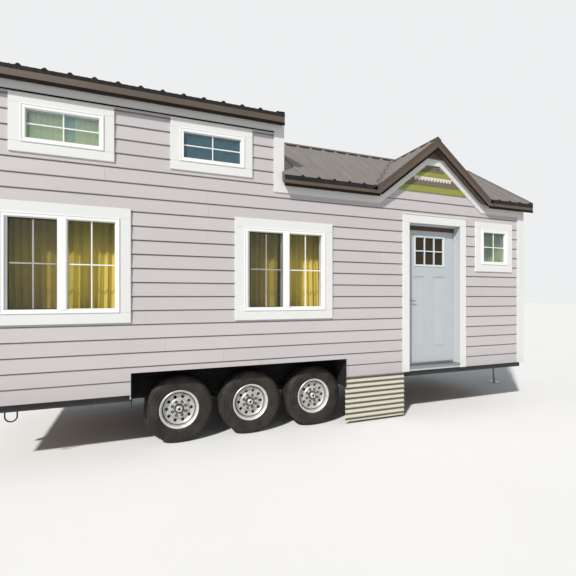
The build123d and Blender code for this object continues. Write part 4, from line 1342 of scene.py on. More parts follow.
    def rake_trims(self, sizes):
        """Folded trims on the face of the entry gable along its top, and a near-black strip of painted
        shade along its foot.
        """
        shape = Shape()
        fold = 0.052
        low_foot = low_eave_height - low_roof_depth
        strips = [
            ((0.0, fold), 0),
            # The strip at the foot is near-black as painted shade under the gable's fascia.
            ((entry_roof_depth - sizes.foot, entry_roof_depth + sizes.drop), 1),
        ]
        for side in (-1, 1):
            for drops, finish in strips:
                ends = []
                for drop in drops:
                    peak = entry_peak - drop
                    reach = min(valley_foot + 0.15, (peak - low_foot) / entry_pitch)
                    ends.append([(0.0, peak), (reach, peak - reach * entry_pitch)])
                corners = [ends[0][0], ends[0][1], ends[1][1], ends[1][0]]
                near = [(entry_x + side * u, -eave_face, z) for u, z in corners]
                far = [(x, y - sizes.flashing, z) for x, y, z in near]
                shape.bridge(near, far, finish=finish)
        make_piece("entry_rake_trims", shape, ["fascia_metal", "painted_shade_strip"], slot="roof_metal")

    def valley_flashing(self):
        """Folded sheet in the two valleys, over the low roof and the entry gable."""
        shape = Shape()
        width = 0.055
        thick = 0.0015
        for side in (-1, 1):
            line = [(entry_x + side * valley_foot, -eave_face), (entry_x, entry_ridge_end)]
            seam = [(x, y, low_top(y) + 0.002) for x, y in line[::-1]]
            low_edge = [(x + side * width, y, low_top(y) + 0.004) for x, y in line]
            entry_edge = []
            for x, y in line:
                inner = max(0.0, abs(x - entry_x) - width)
                entry_edge.append((entry_x + side * inner, y, entry_peak - inner * entry_pitch + 0.004))
            for edge in (low_edge, entry_edge):
                near = edge + seam
                far = [(x, y, z + thick) for x, y, z in near]
                shape.bridge(near, far)
        make_piece("valley_flashing", shape, ["fascia_metal"], slot="roof_metal")


def add_casing(trims, sizes, opening, place):
    """Thin boards over the casing of one window, each with its own grey."""
    u0, u1, z0, z1 = opening.frame(opening.casing)
    a0, a1, b0, b1 = opening.frame()
    skin = (trim_depth - 0.001, trim_depth + sizes.casing)
    gap = 0.0008
    boards = [
        ((u0, u1, b1 + gap, z1), 0.4),
        ((u0, u1, z0, b0 - gap), 0.6),
        ((u0, a0, b0, b1), 0.5),
        ((a1, u1, b0, b1), 0.3),
    ]
    for board, tone in boards:
        trims.panel(place, board, skin, tone=tone)


def add_bars(vinyl, screen, sizes, opening, place):
    """Raised lip, sash, muntins and insect screen of one window."""
    frame = opening.frame()
    lip = (frame_front - 0.001, frame_front + 0.005)
    vinyl.ring_frame(place, frame, inset(frame, sizes.bead), lip)
    left, right, low, high = inset(frame, bar)
    back_face = glass_front - 0.002
    panes = [(left, right)]
    if opening.panes == 2:
        post_left, post_right = opening.x - mullion / 2, opening.x + mullion / 2
        cover = (post_left + 0.030, post_right - 0.006, low - 0.01, high + 0.01)
        vinyl.panel(place, cover, (frame_front - 0.001, frame_front + 0.004))
        stile = left + sizes.sash
        rail = high - 0.012
        for strip in ((left, stile, low, high), (stile, post_left, rail, high)):
            vinyl.panel(place, strip, (back_face, glass_front + 0.010))
        # The screen's frame is near-black: a dark frame that also paints the shade under the window head.
        screen.ring_frame(
            place,
            (stile, post_left, low, rail),
            (stile + 0.010, post_left - 0.006, low + 0.008, high - 0.022),
            (glass_front + 0.009, glass_front + 0.016),
        )
        mesh = (stile + 0.008, post_left - 0.004, low + 0.006, high - 0.020)
        screen.panel(place, mesh, (glass_front + 0.012, glass_front + 0.0124), finish=1)
        panes = [(stile, post_left), (post_right, right)]
    edge = 0.005
    half = sizes.muntin / 2
    level = (low + high) / 2
    depth = (glass_front - 0.001, glass_front + 0.006)
    for start, end in panes:
        pane = (start, end, low, high)
        u0, u1, z0, z1 = inset(pane, edge)
        vinyl.ring_frame(place, pane, (u0, u1, z0, z1), (back_face, glass_front + 0.008))
        middle = (start + end) / 2
        vinyl.panel(place, (middle - half, middle + half, z0, z1), depth)
        vinyl.panel(place, (u0, middle - half, level - half, level + half), depth)
        vinyl.panel(place, (middle + half, u1, level - half, level + half), depth)


class TINYHOUSE_OT_windows(Operator):
    """Adds casings, sashes and muntins to the windows"""

    bl_idname = "tiny_house.windows"
    bl_label = "Windows"

    def execute(self, context):
        sizes = context.scene.tiny_house_windows
        for word, openings, place in (("front", front_openings, front), ("back", back_openings, back)):
            trims = Shape()
            vinyl = Shape()
            screen = Shape()
            for opening in openings:
                add_casing(trims, sizes, opening, place)
                add_bars(vinyl, screen, sizes, opening, place)
            make_piece(word + "_window_casings", trims, ["trim_paint"], slot="white_trim", bevel=0.0015)
            make_piece(word + "_window_bars", vinyl, ["window_vinyl"], slot="window_frame", bevel=0.0014)
            finishes = ["near_black_and_painted_shade", "insect_screen"]
            make_piece(word + "_insect_screens", screen, finishes, slot="window_frame")
        return {"FINISHED"}


class TINYHOUSE_OT_trim(Operator):
    """Adds the casing boards of the door, the sill and the well edges"""

    bl_idname = "tiny_house.trim"
    bl_label = "Trim"

    def execute(self, context):
        self.door_casing()
        self.shade_and_seal_strips()
        self.sill()
        self.frieze_shadow_line()
        self.well_edges()
        return {"FINISHED"}

    def shade_and_seal_strips(self):
        """Dark seals on the door frame, at the head and beside the leaf; the tall head strip and the left
        strip also paint the shade under the head and beside the leaf.
        """
        shape = Shape()
        face = -door_low.y - wall_face
        head = door_high.z - 0.070
        strips = [
            (clear_left, clear_right, head, clear_head - 0.001),
            (clear_left, clear_left + 0.015, door_low.z, head),
            (clear_right - 0.006, clear_right, door_low.z, head),
        ]
        for strip in strips:
            shape.panel(front, strip, (face + 0.003, face + 0.018))
        make_piece("door_shade_and_seal_strips", shape, ["seal_and_shade_paint"], slot="white_trim", bevel=0.002)

    def door_casing(self):
        """Thin boards over the door's casing, and a cap along its head."""
        shape = Shape()
        skin = (trim_depth - 0.001, trim_depth + 0.004)
        top = clear_head + door_head_casing
        u0 = clear_left - door_casing
        u1 = clear_right + door_casing
        shape.panel(front, (u0, u1, clear_head + 0.0008, top), skin, tone=0.4)
        shape.panel(front, (u0, clear_left, siding_base, clear_head), skin, tone=0.6)
        shape.panel(front, (clear_right, u1, siding_base, clear_head), skin, tone=0.5)
        cap = (u0 - 0.008, u1 + 0.008, top - 0.001, top + 0.012)
        shape.panel(front, cap, (0.0, trim_depth + 0.014))
        make_piece("door_casing_boards", shape, ["trim_paint"], slot="white_trim", bevel=0.0015)

    def sill(self):
        """A ribbed metal threshold."""
        shape = Shape()
        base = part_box("door_frame")[0].z + 0.060
        deck = base + 0.003
        near, far = -trim_face - 0.006, -inner_face - 0.006
        shape.block((clear_left, near, base - 0.001), (clear_right, far, deck))
        for ridge in range(5):
            y = -wall_face + 0.012 + ridge * 0.011
            shape.block((clear_left + 0.002, y, deck), (clear_right - 0.002, y + 0.004, base + 0.0045))
        looks = {"slot": "door_metal", "bevel": 0.0006, "segments": 1}
        make_piece("door_threshold", shape, ["aluminium_sill"], **looks)

    def frieze_shadow_line(self):
        """A dark strip along the lower edge of the loft's frieze, which paints the shadow line under it.
        """
        shape = Shape()
        u0, u1 = left_end + corner_board, loft_end - corner_board
        strip = (u0, u1, loft_frieze_base - 0.010, loft_frieze_base)
        for place in (front, back):
            shape.panel(place, strip, (trim_depth - 0.004, trim_depth + 0.006))
        make_piece("frieze_shadow_line", shape, ["painted_shade_strip"], slot="white_trim")

    def well_edges(self):
        """A thin edge strip round each wheel opening."""
        shape = Shape()
        width = 0.012
        proud = (0.0, 0.0165)
        x0, x1, top = well_low.x, well_high.x, well_high.z
        for place in (front, back):
            shape.panel(place, (x0 - width, x1 + width, top, top + 0.006), proud, tone=0.5)
            shape.panel(place, (x0 - width, x0, siding_base - 0.045, top), proud, tone=0.5)
            shape.panel(place, (x1, x1 + width, siding_base - 0.004, top), proud, tone=0.5)
        make_piece("well_edge_trim", shape, ["siding_paint"], slot="siding", bevel=0.001)


class TINYHOUSE_OT_door(Operator):
    """Adds the lites, mouldings and hardware of the entry door"""

    bl_idname = "tiny_house.door"
    bl_label = "Door"

    def execute(self, context):
        self.lites()
        self.mouldings()
        self.sweep()
        self.hardware()
        return {"FINISHED"}

    def outer(self, u, depth, z):
        return (u, door_low.y - depth, z)

    def inner(self, u, depth, z):
        return (u, door_high.y + depth, z)

    def lites(self):
        """A raised frame and bars round the six lites, on both sides of the glass."""
        shape = Shape()
        low, high = door_lites
        extent = (low.x, high.x, low.z, high.z)
        x0, x1, z0, z1 = extent
        half = 0.008
        clear = 0.006
        middle = (z0 + z1) / 2
        bars = [x0 + (x1 - x0) * share for share in (1 / 3, 2 / 3)]
        edges = [x0 + clear, *bars, x1 - clear]
        for place, glass in ((self.outer, low.y - door_low.y), (self.inner, door_high.y - high.y)):
            shape.ring_frame(place, inset(extent, -0.018), inset(extent, 0.004), (-0.002, 0.009))
            shape.ring_frame(place, extent, inset(extent, 0.010), (-glass, 0.0))
            depth = (-glass, 0.004)
            for x in bars:
                shape.panel(place, (x - half, x + half, z0 + clear, z1 - clear), depth)
            for index in range(3):
                start = edges[index] + (half if index else 0.0)
                end = edges[index + 1] - (half if index < 2 else 0.0)
                shape.panel(place, (start, end, middle - half, middle + half), depth)
        make_piece("door_lite_bars", shape, ["door_bars"], body="door", slot="door_paint", bevel=0.002)

    def mouldings(self):
        """Stepped mouldings round the two tall panels, outside and inside."""
        shape = Shape()
        spacing = 0.383
        width = 0.227
        strip = 0.007
        back_face = -0.009
        z0 = door_low.z + 0.238
        z1 = door_high.z - 0.740
        for side in (-1, 1):
            middle = door_x + side * spacing / 2
            panel = (middle - width / 2, middle + width / 2, z0, z1)
            for amount, face in ((0.0, -0.0025), (strip, -0.005)):
                edge = inset(panel, amount)
                shape.ring_frame(self.outer, edge, inset(edge, strip), (back_face, face))
            shape.panel(self.outer, inset(panel, 0.034), (back_face, -0.0035))
            shape.ring_frame(self.inner, panel, inset(panel, 0.012), (-0.001, 0.004))
        looks = {"body": "door", "slot": "door_paint", "bevel": 0.0012}
        make_piece("door_panel_mouldings", shape, ["entry_door_paint"], **looks)

    def sweep(self):
        """A metal strip along the leaf's foot."""
        shape = Shape()
        strip = (door_low.x + 0.004, door_high.x - 0.004, door_low.z, door_low.z + 0.030)
        shape.panel(self.outer, strip, (-0.001, 0.003))
        make_piece("door_sweep", shape, ["aluminium_sill"], body="door", slot="door_metal", bevel=0.0008)

    def hardware(self):
        """A lever and a deadbolt on both faces, and the moving hinge leaves."""
        shape = Shape()
        x = door_low.x + 0.065
        handle = door_low.z + 0.928
        neck = [
            (0.030, 0.0), (0.031, 0.004), (0.027, 0.009),
            (0.014, 0.010), (0.011, 0.020), (0.011, 0.048),
        ]
        rose = [(0.029, 0.0), (0.030, 0.004), (0.026, 0.010), (0.016, 0.011), (0.014, 0.018)]
        for place in (self.outer, self.inner):
            self.turned(shape, place, x, handle, neck)
            self.lever(shape, place, x, handle)
            self.turned(shape, place, x, handle + 0.140, rose)
        keyhole = (x - 0.001, x + 0.001, handle + 0.136, handle + 0.144)
        thumb_turn = (x - 0.003, x + 0.003, handle + 0.122, handle + 0.158)
        shape.panel(self.outer, keyhole, (0.017, 0.0185))
        shape.panel(self.inner, thumb_turn, (0.017, 0.030))
        self.hinge_leaves(shape)
        looks = {"body": "door", "slot": "door_metal", "bevel": 0.0008, "angle": 40.0}
        piece = make_piece("door_lever_set", shape, ["door_nickel"], **looks)
        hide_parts("door_hardware")

    def turned(self, shape, place, u, z, profile):
        """A round piece that stands out of the door; profile is (radius, depth) pairs."""
        rings = []
        for radius, depth in profile:
            rings.append([
                place(u + radius * math.cos(angle), depth, z + radius * math.sin(angle))
                for angle in turns(32)
            ])
        shape.rings(rings)

    def lever(self, shape, place, u, z):
        """A lever that sweeps from the neck and thins towards its end."""
        steps = 14
        reach = 0.119
        rings = []
        for step in range(steps + 1):
            share = step / steps
            along = u - 0.004 + share * reach
            depth = 0.044 - 0.008 * math.sin(math.pi * share)
            tall = 0.0105 * (1 - 0.35 * share)
            thick = 0.0075 * (1 - 0.4 * share)
            if step in (0, steps):
                tall *= 0.6
                thick *= 0.6
            rings.append([
                place(along, depth + thick * math.cos(angle), z + tall * math.sin(angle))
                for angle in turns(14)
            ])
        shape.rings(rings)

    def hinge_leaves(self, shape):
        """The moving halves of the three hinges."""
        x = door_high.x + 0.004
        y = door_high.y + 0.007
        height = door_high.z - door_low.z
        for rise in (0.180, height / 2, height - 0.180):
            z0 = door_low.z + rise + 0.0003
            z1 = door_low.z + rise + 0.050
            shape.block((x - 0.040, door_high.y, z0), (x, door_high.y + 0.003, z1))
            shape.tube([(x, y, z0), (x, y, z1)], 0.006, 16)
            shape.tube([(x, y, z1), (x, y, z1 + 0.004)], 0.0045, 16)


def make_curtain(name, sizes, x0, x1, z0, z1, y_middle, seed, lean):
    """One gathered panel of cloth; lean pulls its hem sideways."""
    chance = random.Random(seed)
    columns = 150
    rows = 36
    phase = chance.uniform(0, math.tau)
    swings = [(chance.uniform(0.5, 1.6), chance.uniform(0, math.tau)) for swing in range(3)]
    widths = [chance.uniform(0.75, 1.25) for fold in range(sizes.folds)]
    total = sum(widths)
    edges = [0.0]
    for width in widths:
        edges.append(edges[-1] + width / total)

    def fold_angle(share):
        for index, width in enumerate(widths):
            if share <= edges[index + 1] or index == len(widths) - 1:
                inside = (share - edges[index]) / (edges[index + 1] - edges[index])
                return math.tau * (index + inside)
        return 0.0

    grid = []
    for row in range(rows + 1):
        down = row / rows
        line = []
        for column in range(columns + 1):
            share = column / columns
            angle = fold_angle(share) + phase
            drift = sum(math.sin(rate * 4.0 * down + start + 3.0 * share) for rate, start in swings)
            depth = sizes.depth / 2 * (0.42 + 0.58 * down ** 0.6)
            pinch = 1.0 - 0.55 * math.exp(-down / 0.04)
            y = y_middle + depth * pinch * math.sin(angle) + 0.0015 * drift
            sharp = 0.012 * math.sin(2 * angle) * down ** 0.5
            x = x0 + (x1 - x0) * share + sharp * 0.6 + lean * down ** 1.6
            x += 0.0035 * drift * down
            z = z1 - (z1 - z0) * down + 0.002 * math.sin(angle) * (1 - down)
            line.append(Vector((x, y, min(z, z1))))
        grid.append(line)
    shape = Shape()
    points = [point for line in grid for point in line]
    wide = columns + 1
    faces = []
    for row in range(rows):
        for column in range(columns):
            corner = row * wide + column
            face = (corner, corner + 1, corner + wide + 1, corner + wide)
            faces.append(face)
    shape.add(points, faces)
    piece = make_piece(name, shape, ["curtain_cloth"], slot="curtain", angle=80.0)
    thick = piece.modifiers.new("cloth", "SOLIDIFY")
    thick.thickness = sizes.cloth
    thick.offset = 0.0
    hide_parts("curtains")


class TINYHOUSE_OT_curtains(Operator):
    """Hangs the gathered curtains on their rods"""

    bl_idname = "tiny_house.curtains"
    bl_label = "Curtains"

    def execute(self, context):
        sizes = context.scene.tiny_house_curtains
        low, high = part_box("curtains")
        middle = (low.y + high.y) / 2
        wide = (2.5957, 1.189)
        loft = (high.z, 0.469)
        panels = [
            ("curtain_left_a", lower_windows[0], -0.585, -0.030, wide, 3, 0.010),
            ("curtain_left_b", lower_windows[0], 0.020, 0.585, wide, 4, -0.006),
            ("curtain_right_a", lower_windows[1], -0.590, -0.020, wide, 7, -0.008),
            ("curtain_right_b", lower_windows[1], 0.020, 0.590, wide, 8, 0.004),
            ("curtain_loft_a", loft_windows[0], -0.425, -0.030, loft, 13, 0.0),
            ("curtain_loft_b", loft_windows[0], 0.070, 0.425, loft, 14, 0.0),
        ]
        for name, opening, u0, u1, (top, drop), seed, lean in panels:
            make_curtain(name, sizes, opening.x + u0, opening.x + u1, top - drop, top, middle, seed, lean)
        self.rings(panels, middle)
        return {"FINISHED"}

    def rings(self, panels, middle):
        """Small rings that join each panel's head to its rod."""
        shape = Shape()
        radius = 0.0125
        edge = 0.02
        count = 6
        for name, opening, u0, u1, (top, drop), seed, lean in panels:
            rod = top + 0.0093
            for index in range(count):
                x = opening.x + u0 + edge + (u1 - u0 - 2 * edge) * index / (count - 1)
                path = []
                for step in range(21):
                    angle = math.tau * step / 20
                    path.append((x, middle + radius * math.sin(angle), rod + radius * math.cos(angle)))
                shape.tube(path, 0.0016, 8)
        make_piece("curtain_rings", shape, ["door_nickel"], slot="rod")


class Wheel:
    """Makes rings and domes turned about one axle; outward is -1 in front and 1 at the back."""

    def __init__(self, centre, outward):
        self.centre = centre
        self.outward = outward
        self.shape = Shape()

    def at(self, radius, angle, depth):
        """A point at a radius and an angle round the axle, depth metres out."""
        return (
            self.centre.x + radius * math.sin(angle),
            self.centre.y + self.outward * depth,
            self.centre.z + radius * math.cos(angle),
        )

    def ring(self, profile, sides, finish=0):
        """A closed turned ring; profile is (radius, depth) pairs."""
        rings = [[self.at(radius, angle, depth) for radius, depth in profile] for angle in turns(sides)]
        self.shape.rings(rings, closed=True, finish=finish)

    def dome(self, profile, sides, finish):
        """A turned solid with a flat or pointed top; profile is (radius, depth) pairs."""
        rings = [[self.at(radius, angle, depth) for angle in turns(sides)] for radius, depth in profile]
        self.shape.rings(rings, finish=finish)

    def moved(self, radius, angle):
        """A maker for the same shape whose middle stands off the axle, such as a bolt's."""
        other = Wheel(Vector(self.at(radius, angle, 0.0)), self.outward)
        other.shape = self.shape
        return other


class TINYHOUSE_OT_wheels(Operator):
    """Makes the treaded tyres and the silver rims"""

    bl_idname = "tiny_house.wheels"
    bl_label = "Wheels"

    def execute(self, context):
        sizes = context.scene.tiny_house_wheels
        rim_finishes = ["rim_paint", "rim_hub", "near_black_and_painted_shade", "lug_steel"]
        for side, outward in (("front", -1), ("back", 1)):
            for place in ("left", "middle", "right"):
                name = side + "_" + place
                low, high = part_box(name + "_tyre")
                centre = (low + high) / 2
                radius, half = (high.z - low.z) / 2, (high.y - low.y) / 2
                shape = self.tyre(sizes, Wheel(centre, outward), radius, half)
                looks = {"body": name + "_wheel", "slot": "tyre", "angle": 38.0}
                piece = make_piece(name + "_treaded_tyre", shape, ["tyre_rubber"], **looks)
                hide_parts(name + "_tyre")
                shape = self.rim(sizes, Wheel(centre, outward))
                looks = {"body": name + "_wheel", "slot": "rim_metal", "angle": 30.0}
                piece = make_piece(name + "_silver_rim", shape, rim_finishes, **looks)
                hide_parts(name + "_rim")
        return {"FINISHED"}

    def tyre_profile(self, radius, half, groove):
        """The side wall, the shoulder and half the tread, as (radius, depth) pairs."""
        bead = 0.226
        side_wall = [
            (0.205, 0.097), (bead, 0.1005), (bead + 0.006, 0.107), (bead + 0.012, 0.108),
            (bead + 0.020, 0.1115), (bead + 0.023, 0.1130), (bead + 0.029, 0.1130),
            (bead + 0.032, 0.1120),
            (0.285, half - 0.0012), (0.300, half), (0.318, half - 0.0004), (0.322, half - 0.0022),
            (0.335, half - 0.0032), (0.338, half - 0.0018), (0.347, half - 0.0040),
        ]
        shoulder = [
            (0.362, half - 0.0095), (radius - 0.014, half - 0.0200), (radius - 0.005, half - 0.0290),
        ]
        lifts = [radius - 0.0015, radius, radius]
        ribs = [(0.083, 0.060), (0.052, 0.030), (0.022, 0.0045)]
        slant = 0.0015
        tread = []
        for index, (start, end) in enumerate(ribs):
            tread += [(lifts[index], start), (lifts[index], end)]
            if index < 2:
                tread += [(radius - groove, end - slant), (radius - groove, ribs[index + 1][0] + slant)]
        return side_wall, shoulder, tread

    def tyre(self, sizes, wheel, radius, half):
        """A turned tyre whose shoulder blocks alternate round it."""
        floor = radius - sizes.groove
        side_wall, shoulder, tread = self.tyre_profile(radius, half, sizes.groove)
        outer_half = side_wall + shoulder + tread
        profile = outer_half + [(floor, 0.003), (floor, -0.003)] + [(r, -d) for r, d in outer_half[::-1]]
        block_cut = 0.007
        sipe_cut = 0.004
        per_block = 4
        first = len(side_wall)
        last = first + len(shoulder) + 1
        rings = []
        for index, angle in enumerate(turns(sizes.steps * per_block)):
            cut = index % per_block == 0
            ring = []
            for row, (r, depth) in enumerate(profile):
                lane = min(row, len(profile) - 1 - row)
                if cut and first <= lane <= last:
                    r -= block_cut
                elif cut and first < lane < len(outer_half) and r > radius - 0.004:
                    r -= sipe_cut
                ring.append(wheel.at(r, angle, depth))
            rings.append(ring)
        wheel.shape.rings(rings, closed=True)
        return wheel.shape

    def rim(self, sizes, wheel):
        """The barrel, the pressed disc, the hub with its cap, and the bolts, with near-black rings of
        painted shade round the hub, under the nuts and at the dish's rim.
        """
        lip = 0.1085
        barrel = [
            (0.2235, lip - 0.003), (0.2255, lip - 0.006), (0.2250, lip - 0.0085), (0.2050, lip - 0.0105),
            (0.2015, 0.080), (0.1935, 0.060), (0.1880, 0.030), (0.1880, -0.020), (0.2010, -0.060),
            (0.2040, -0.096), (0.2250, -0.100), (0.2255, -0.106), (0.2180, -0.1085), (0.1995, -0.1060),
            (0.1960, -0.062), (0.1830, -0.022), (0.1830, 0.030), (0.1885, 0.058), (0.1965, 0.081),
            (0.2005, 0.0955), (0.2110, 0.1030), (0.2155, lip - 0.0012), (0.2190, lip),
        ]
        wheel.ring(barrel, 96)
        self.dish(sizes, wheel)
        # The near-black ring round the hub is painted shade.
        hub = [(0.058, 0.046), (0.059, 0.054), (0.0585, 0.064), (0.052, 0.066)]
        wheel.ring(hub, 64, finish=2)
        cap = [
            (0.0385, 0.060), (0.0385, 0.083), (0.0365, 0.0885), (0.0330, 0.0915), (0.0290, 0.0960),
            (0.0180, 0.0975), (0.0160, 0.0955),
        ]
        wheel.dome(cap, 48, 1)
        wheel.dome([(0.0160, 0.090), (0.0158, 0.0956), (0.0015, 0.0960)], 32, 2)
        lugs = 8
        for index in range(lugs):
            bolt = wheel.moved(sizes.lug_circle, math.tau * (index + 0.5) / lugs)
            # Near-black seats under the nuts are painted shade round each nut.
            bolt.dome([(0.0185, 0.058), (0.0180, 0.0625), (0.0150, 0.0630)], 24, 2)
            bolt.dome([(0.0118, 0.062), (0.0118, 0.0760), (0.0090, 0.0785), (0.0010, 0.0790)], 6, 3)
        stem = [(0.0050, 0.035), (0.0050, 0.062), (0.0042, 0.064), (0.0042, 0.071), (0.0010, 0.0715)]
        stem_circle, stem_angle = 0.172, 0.31
        wheel.moved(stem_circle, stem_angle).dome(stem, 16, 2)
        inner_hub = [(0.075, 0.020), (0.030, 0.020), (0.030, -0.060), (0.060, -0.060), (0.062, 0.0)]
        wheel.ring(inner_hub, 48, finish=1)
        return wheel.shape

    def dish_depth(self, radius):
        """How far out the dish stands at a radius."""
        knots = [
            (0.052, 0.062), (0.100, 0.062), (0.108, 0.060), (0.120, 0.047), (0.130, 0.043),
            (0.152, 0.043), (0.165, 0.049), (0.176, 0.060), (0.184, 0.064), (0.190, 0.058),
        ]
        for (r0, d0), (r1, d1) in zip(knots, knots[1:]):
            if radius <= r1:
                share = max(0.0, (radius - r0) / (r1 - r0))
                ease = share * share * (3 - 2 * share)
                return d0 + (d1 - d0) * ease
        return knots[-1][1]

    def dish(self, sizes, wheel):
        """The pressed disc, with a ring of round holes cut through it."""
        thick = 0.007
        holes = 10
        inner, outer = sizes.hole_circle - 0.020, sizes.hole_circle + 0.020

        def two_sided(rows, finish=0):
            """Joins rows of (radius, angle) points into a sheet with a face and a rear."""
            face = [[wheel.at(r, a, self.dish_depth(r)) for r, a in row] for row in rows]
            rear = [[wheel.at(r, a, self.dish_depth(r) - thick) for r, a in row] for row in rows[::-1]]
            wheel.shape.rings(face + rear, capped=False, finish=finish)

        half = math.pi / holes
        for index in range(holes):
            middle = math.tau * (index + 0.5) / holes
            rows = []
            for share in (1.0, 0.66, 0.33, 0.0):
                row = []
                for turn in turns(24):
                    dr, da = math.cos(turn), math.sin(turn)
                    reach = 1.0 / max(abs(dr), abs(da))
                    square = (dr * reach * (outer - inner) / 2, da * reach * half)
                    round_hole = (dr * sizes.hole, da * sizes.hole / sizes.hole_circle)
                    radius = sizes.hole_circle + square[0] * share + round_hole[0] * (1 - share)
                    angle = middle + square[1] * share + round_hole[1] * (1 - share)
                    row.append((radius, angle))
                rows.append(row)
            two_sided(rows)
        bands = [
            ([0.052, 0.070, 0.090, 0.100, 0.104, 0.108, 0.114, inner], 0),
            ([outer, 0.165, 0.170, 0.176, 0.180], 0),
            # The near-black outer band is painted shade where the dish meets the barrel.
            ([0.180, 0.184, 0.190], 2),
        ]
        for radii, finish in bands:
            two_sided([[(r, angle) for angle in turns(holes * 6)] for r in radii], finish)


class TINYHOUSE_OT_fittings(Operator):
    """Adds the skirt's screws and the details of the hitch"""

    bl_idname = "tiny_house.fittings"
    bl_label = "Fittings"

    def execute(self, context):
        self.skirt_screws()
        self.hitch_details()
        return {"FINISHED"}

    def skirt_screws(self):
        """Two rows of hexagon screws with washers on the skirt panel."""
        shape = Shape()
        low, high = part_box("skirt_panel")
        edge = 0.05
        row_spacing = 0.0677 * 4
        screw = [(0.0060, 0.0), (0.0060, 0.0012), (0.0042, 0.0014), (0.0040, 0.0050)]
        for row in range(2):
            z = high.z - 0.017 - row * row_spacing
            for column in range(5):
                x = low.x + edge + (high.x - low.x - 2 * edge) * column / 4
                rings = []
                for radius, depth in screw:
                    y = low.y - depth + 0.0005
                    rings.append([
                        (x + radius * math.cos(angle), y, z + radius * math.sin(angle))
                        for angle in turns(6)
                    ])
                shape.rings(rings)
        make_piece("skirt_screws", shape, ["jack_zinc"], slot="skirt_metal")

    def hitch_details(self):
        """The coupler's latch with its bolts, and the grip of the jack's crank."""
        shape = Shape()
        low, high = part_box("hitch_coupler")
        x, top = high.x - 0.10, high.z
        shape.block((x - 0.060, -0.014, top - 0.001), (x + 0.020, 0.014, top + 0.006))
        shape.tube([(x, -0.012, top + 0.014), (x, 0.012, top + 0.014)], 0.009, 16)
        lever = [
            (x - 0.004, 0.0, top + 0.016),
            (x - 0.050, 0.0, top + 0.026),
            (x - 0.105, 0.0, top + 0.046),
        ]
        shape.tube(lever, 0.006, 12)
        for side in (-1, 1):
            for offset in (0.05, 0.12):
                bolt_x, bolt_y = low.x + offset, side * 0.055
                shape.tube([(bolt_x, bolt_y, top), (bolt_x, bolt_y, top + 0.008)], 0.011, 6)
        make_piece("coupler_latch", shape, ["jack_zinc"], slot="jack_steel", bevel=0.0008)
        low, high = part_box("tongue_jack")
        x, y = (low.x + high.x) / 2, -0.170
        grip = Shape()
        grip.tube([(x, y, high.z - 0.075), (x, y, high.z - 0.006)], 0.0125, 20)
        make_piece("jack_crank_grip", grip, ["near_black_and_painted_shade"], slot="jack_steel", bevel=0.003)


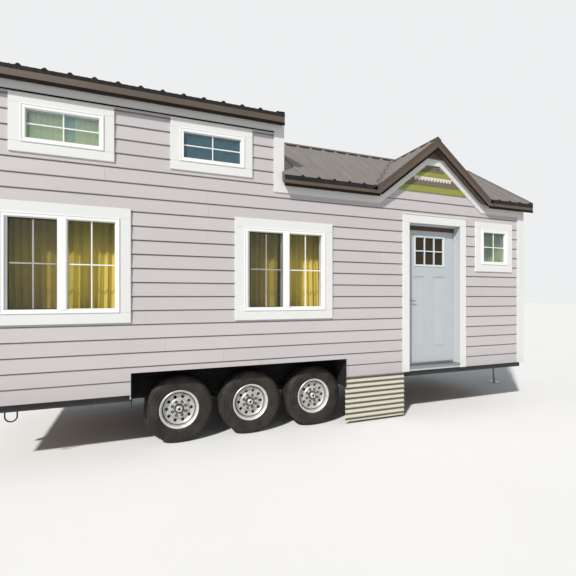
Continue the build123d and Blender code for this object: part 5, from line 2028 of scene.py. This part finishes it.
class TINYHOUSE_OT_stage(Operator):
    """Makes the floor, the lights and the camera"""

    bl_idname = "tiny_house.stage"
    bl_label = "Stage"

    def execute(self, context):
        sizes = context.scene.tiny_house_stage
        context.scene.view_settings.view_transform = "Standard"
        self.floor()
        self.lights(sizes)
        self.camera(sizes)
        return {"FINISHED"}

    def floor(self):
        """A plain pale floor, wide enough to reach the horizon."""
        finish = Finish("stage_floor", paint(236, 236, 236), 0.85)
        cloudy = finish.patches(0.6)
        finish.colour_from(finish.mix(cloudy, finish.base, finish.shade(0.985)))
        mesh = bpy.data.meshes.new("floor")
        reach = 90.0
        corners = [(-reach, -reach, 0), (reach, -reach, 0), (reach, reach, 0), (-reach, reach, 0)]
        mesh.from_pydata(corners, [], [(0, 1, 2, 3)])
        mesh.materials.append(finish.material)
        floor = bpy.data.objects.new("floor", mesh)
        bpy.context.scene.collection.objects.link(floor)

    def lights(self, sizes):
        """One sun and a pale sky. The camera, gloss and glass see the background instead."""
        world = bpy.data.worlds.new("studio")
        bpy.context.scene.world = world
        world.use_nodes = True
        nodes, links = world.node_tree.nodes, world.node_tree.links
        fill = nodes["Background"]
        fill.inputs["Color"].default_value = (0.88, 0.95, 1.0, 1.0)
        fill.inputs["Strength"].default_value = sizes.sky
        seen = nodes.new("ShaderNodeBackground")
        seen.inputs["Color"].default_value = (*paint(238, 239, 240), 1.0)
        seen.inputs["Strength"].default_value = 1.0
        path = nodes.new("ShaderNodeLightPath")
        mixer = nodes.new("ShaderNodeMixShader")
        shown = path.outputs["Is Camera Ray"]
        for ray in ("Is Glossy Ray", "Is Transmission Ray"):
            either = nodes.new("ShaderNodeMath")
            either.operation = "MAXIMUM"
            links.new(shown, either.inputs[0])
            links.new(path.outputs[ray], either.inputs[1])
            shown = either.outputs["Value"]
        links.new(shown, mixer.inputs[0])
        links.new(fill.outputs[0], mixer.inputs[1])
        links.new(seen.outputs[0], mixer.inputs[2])
        links.new(mixer.outputs[0], nodes["World Output"].inputs["Surface"])
        key = bpy.data.lights.new("key", "SUN")
        key.energy = sizes.sun
        key.angle = math.radians(3.0)
        key.color = (1.0, 0.97, 0.93)
        lamp = bpy.data.objects.new("key", key)
        shining_to = Vector((1.1, 1.0, -1.25))
        lamp.rotation_euler = shining_to.to_track_quat("-Z", "Y").to_euler()
        bpy.context.scene.collection.objects.link(lamp)

    def camera(self, sizes):
        data = bpy.data.cameras.new("camera")
        data.lens = sizes.lens
        data.sensor_width = 36.0
        data.shift_y = sizes.shift
        camera = bpy.data.objects.new("camera", data)
        siding_face = -wall_face - 0.015
        x, y = at(sizes.camera_station), siding_face - sizes.camera_reach
        camera.location = (x, y, sizes.camera_height)
        camera.rotation_euler = (math.radians(90.0), 0.0, -sizes.camera_turn)
        bpy.context.scene.collection.objects.link(camera)
        bpy.context.scene.camera = camera


class TINYHOUSE_PT_sidebar(Panel):
    """Lists the steps and the sizes of the house"""

    bl_idname = "TINYHOUSE_PT_sidebar"
    bl_label = "Tiny House"
    bl_space_type = "VIEW_3D"
    bl_region_type = "UI"
    bl_category = "Tiny House"

    def draw(self, context):
        layout = self.layout
        for step in steps:
            layout.operator(step.bl_idname)
        for name in groups:
            box = layout.box()
            values = getattr(context.scene, name)
            for key in values.bl_rna.properties.keys():
                if key not in ("rna_type", "name"):
                    box.prop(values, key)


steps = [
    TINYHOUSE_OT_finishes,
    TINYHOUSE_OT_siding,
    TINYHOUSE_OT_gable,
    TINYHOUSE_OT_roof,
    TINYHOUSE_OT_windows,
    TINYHOUSE_OT_trim,
    TINYHOUSE_OT_door,
    TINYHOUSE_OT_curtains,
    TINYHOUSE_OT_wheels,
    TINYHOUSE_OT_fittings,
    TINYHOUSE_OT_stage,
]
groups = {
    "tiny_house_siding": SidingSizes,
    "tiny_house_roof": RoofSizes,
    "tiny_house_windows": WindowSizes,
    "tiny_house_curtains": CurtainSizes,
    "tiny_house_wheels": WheelSizes,
    "tiny_house_colours": Colours,
    "tiny_house_stage": StageSizes,
}


def register():
    for kind in [*groups.values(), *steps, TINYHOUSE_PT_sidebar]:
        bpy.utils.register_class(kind)
    for name, kind in groups.items():
        setattr(bpy.types.Scene, name, PointerProperty(type=kind))


def unregister():
    for name in groups:
        delattr(bpy.types.Scene, name)
    for kind in reversed([*groups.values(), *steps, TINYHOUSE_PT_sidebar]):
        bpy.utils.unregister_class(kind)


def main():
    register()
    for step in steps:
        name = step.bl_idname.split(".")[1]
        getattr(bpy.ops.tiny_house, name)()


if __name__ == "__main__":
    main()
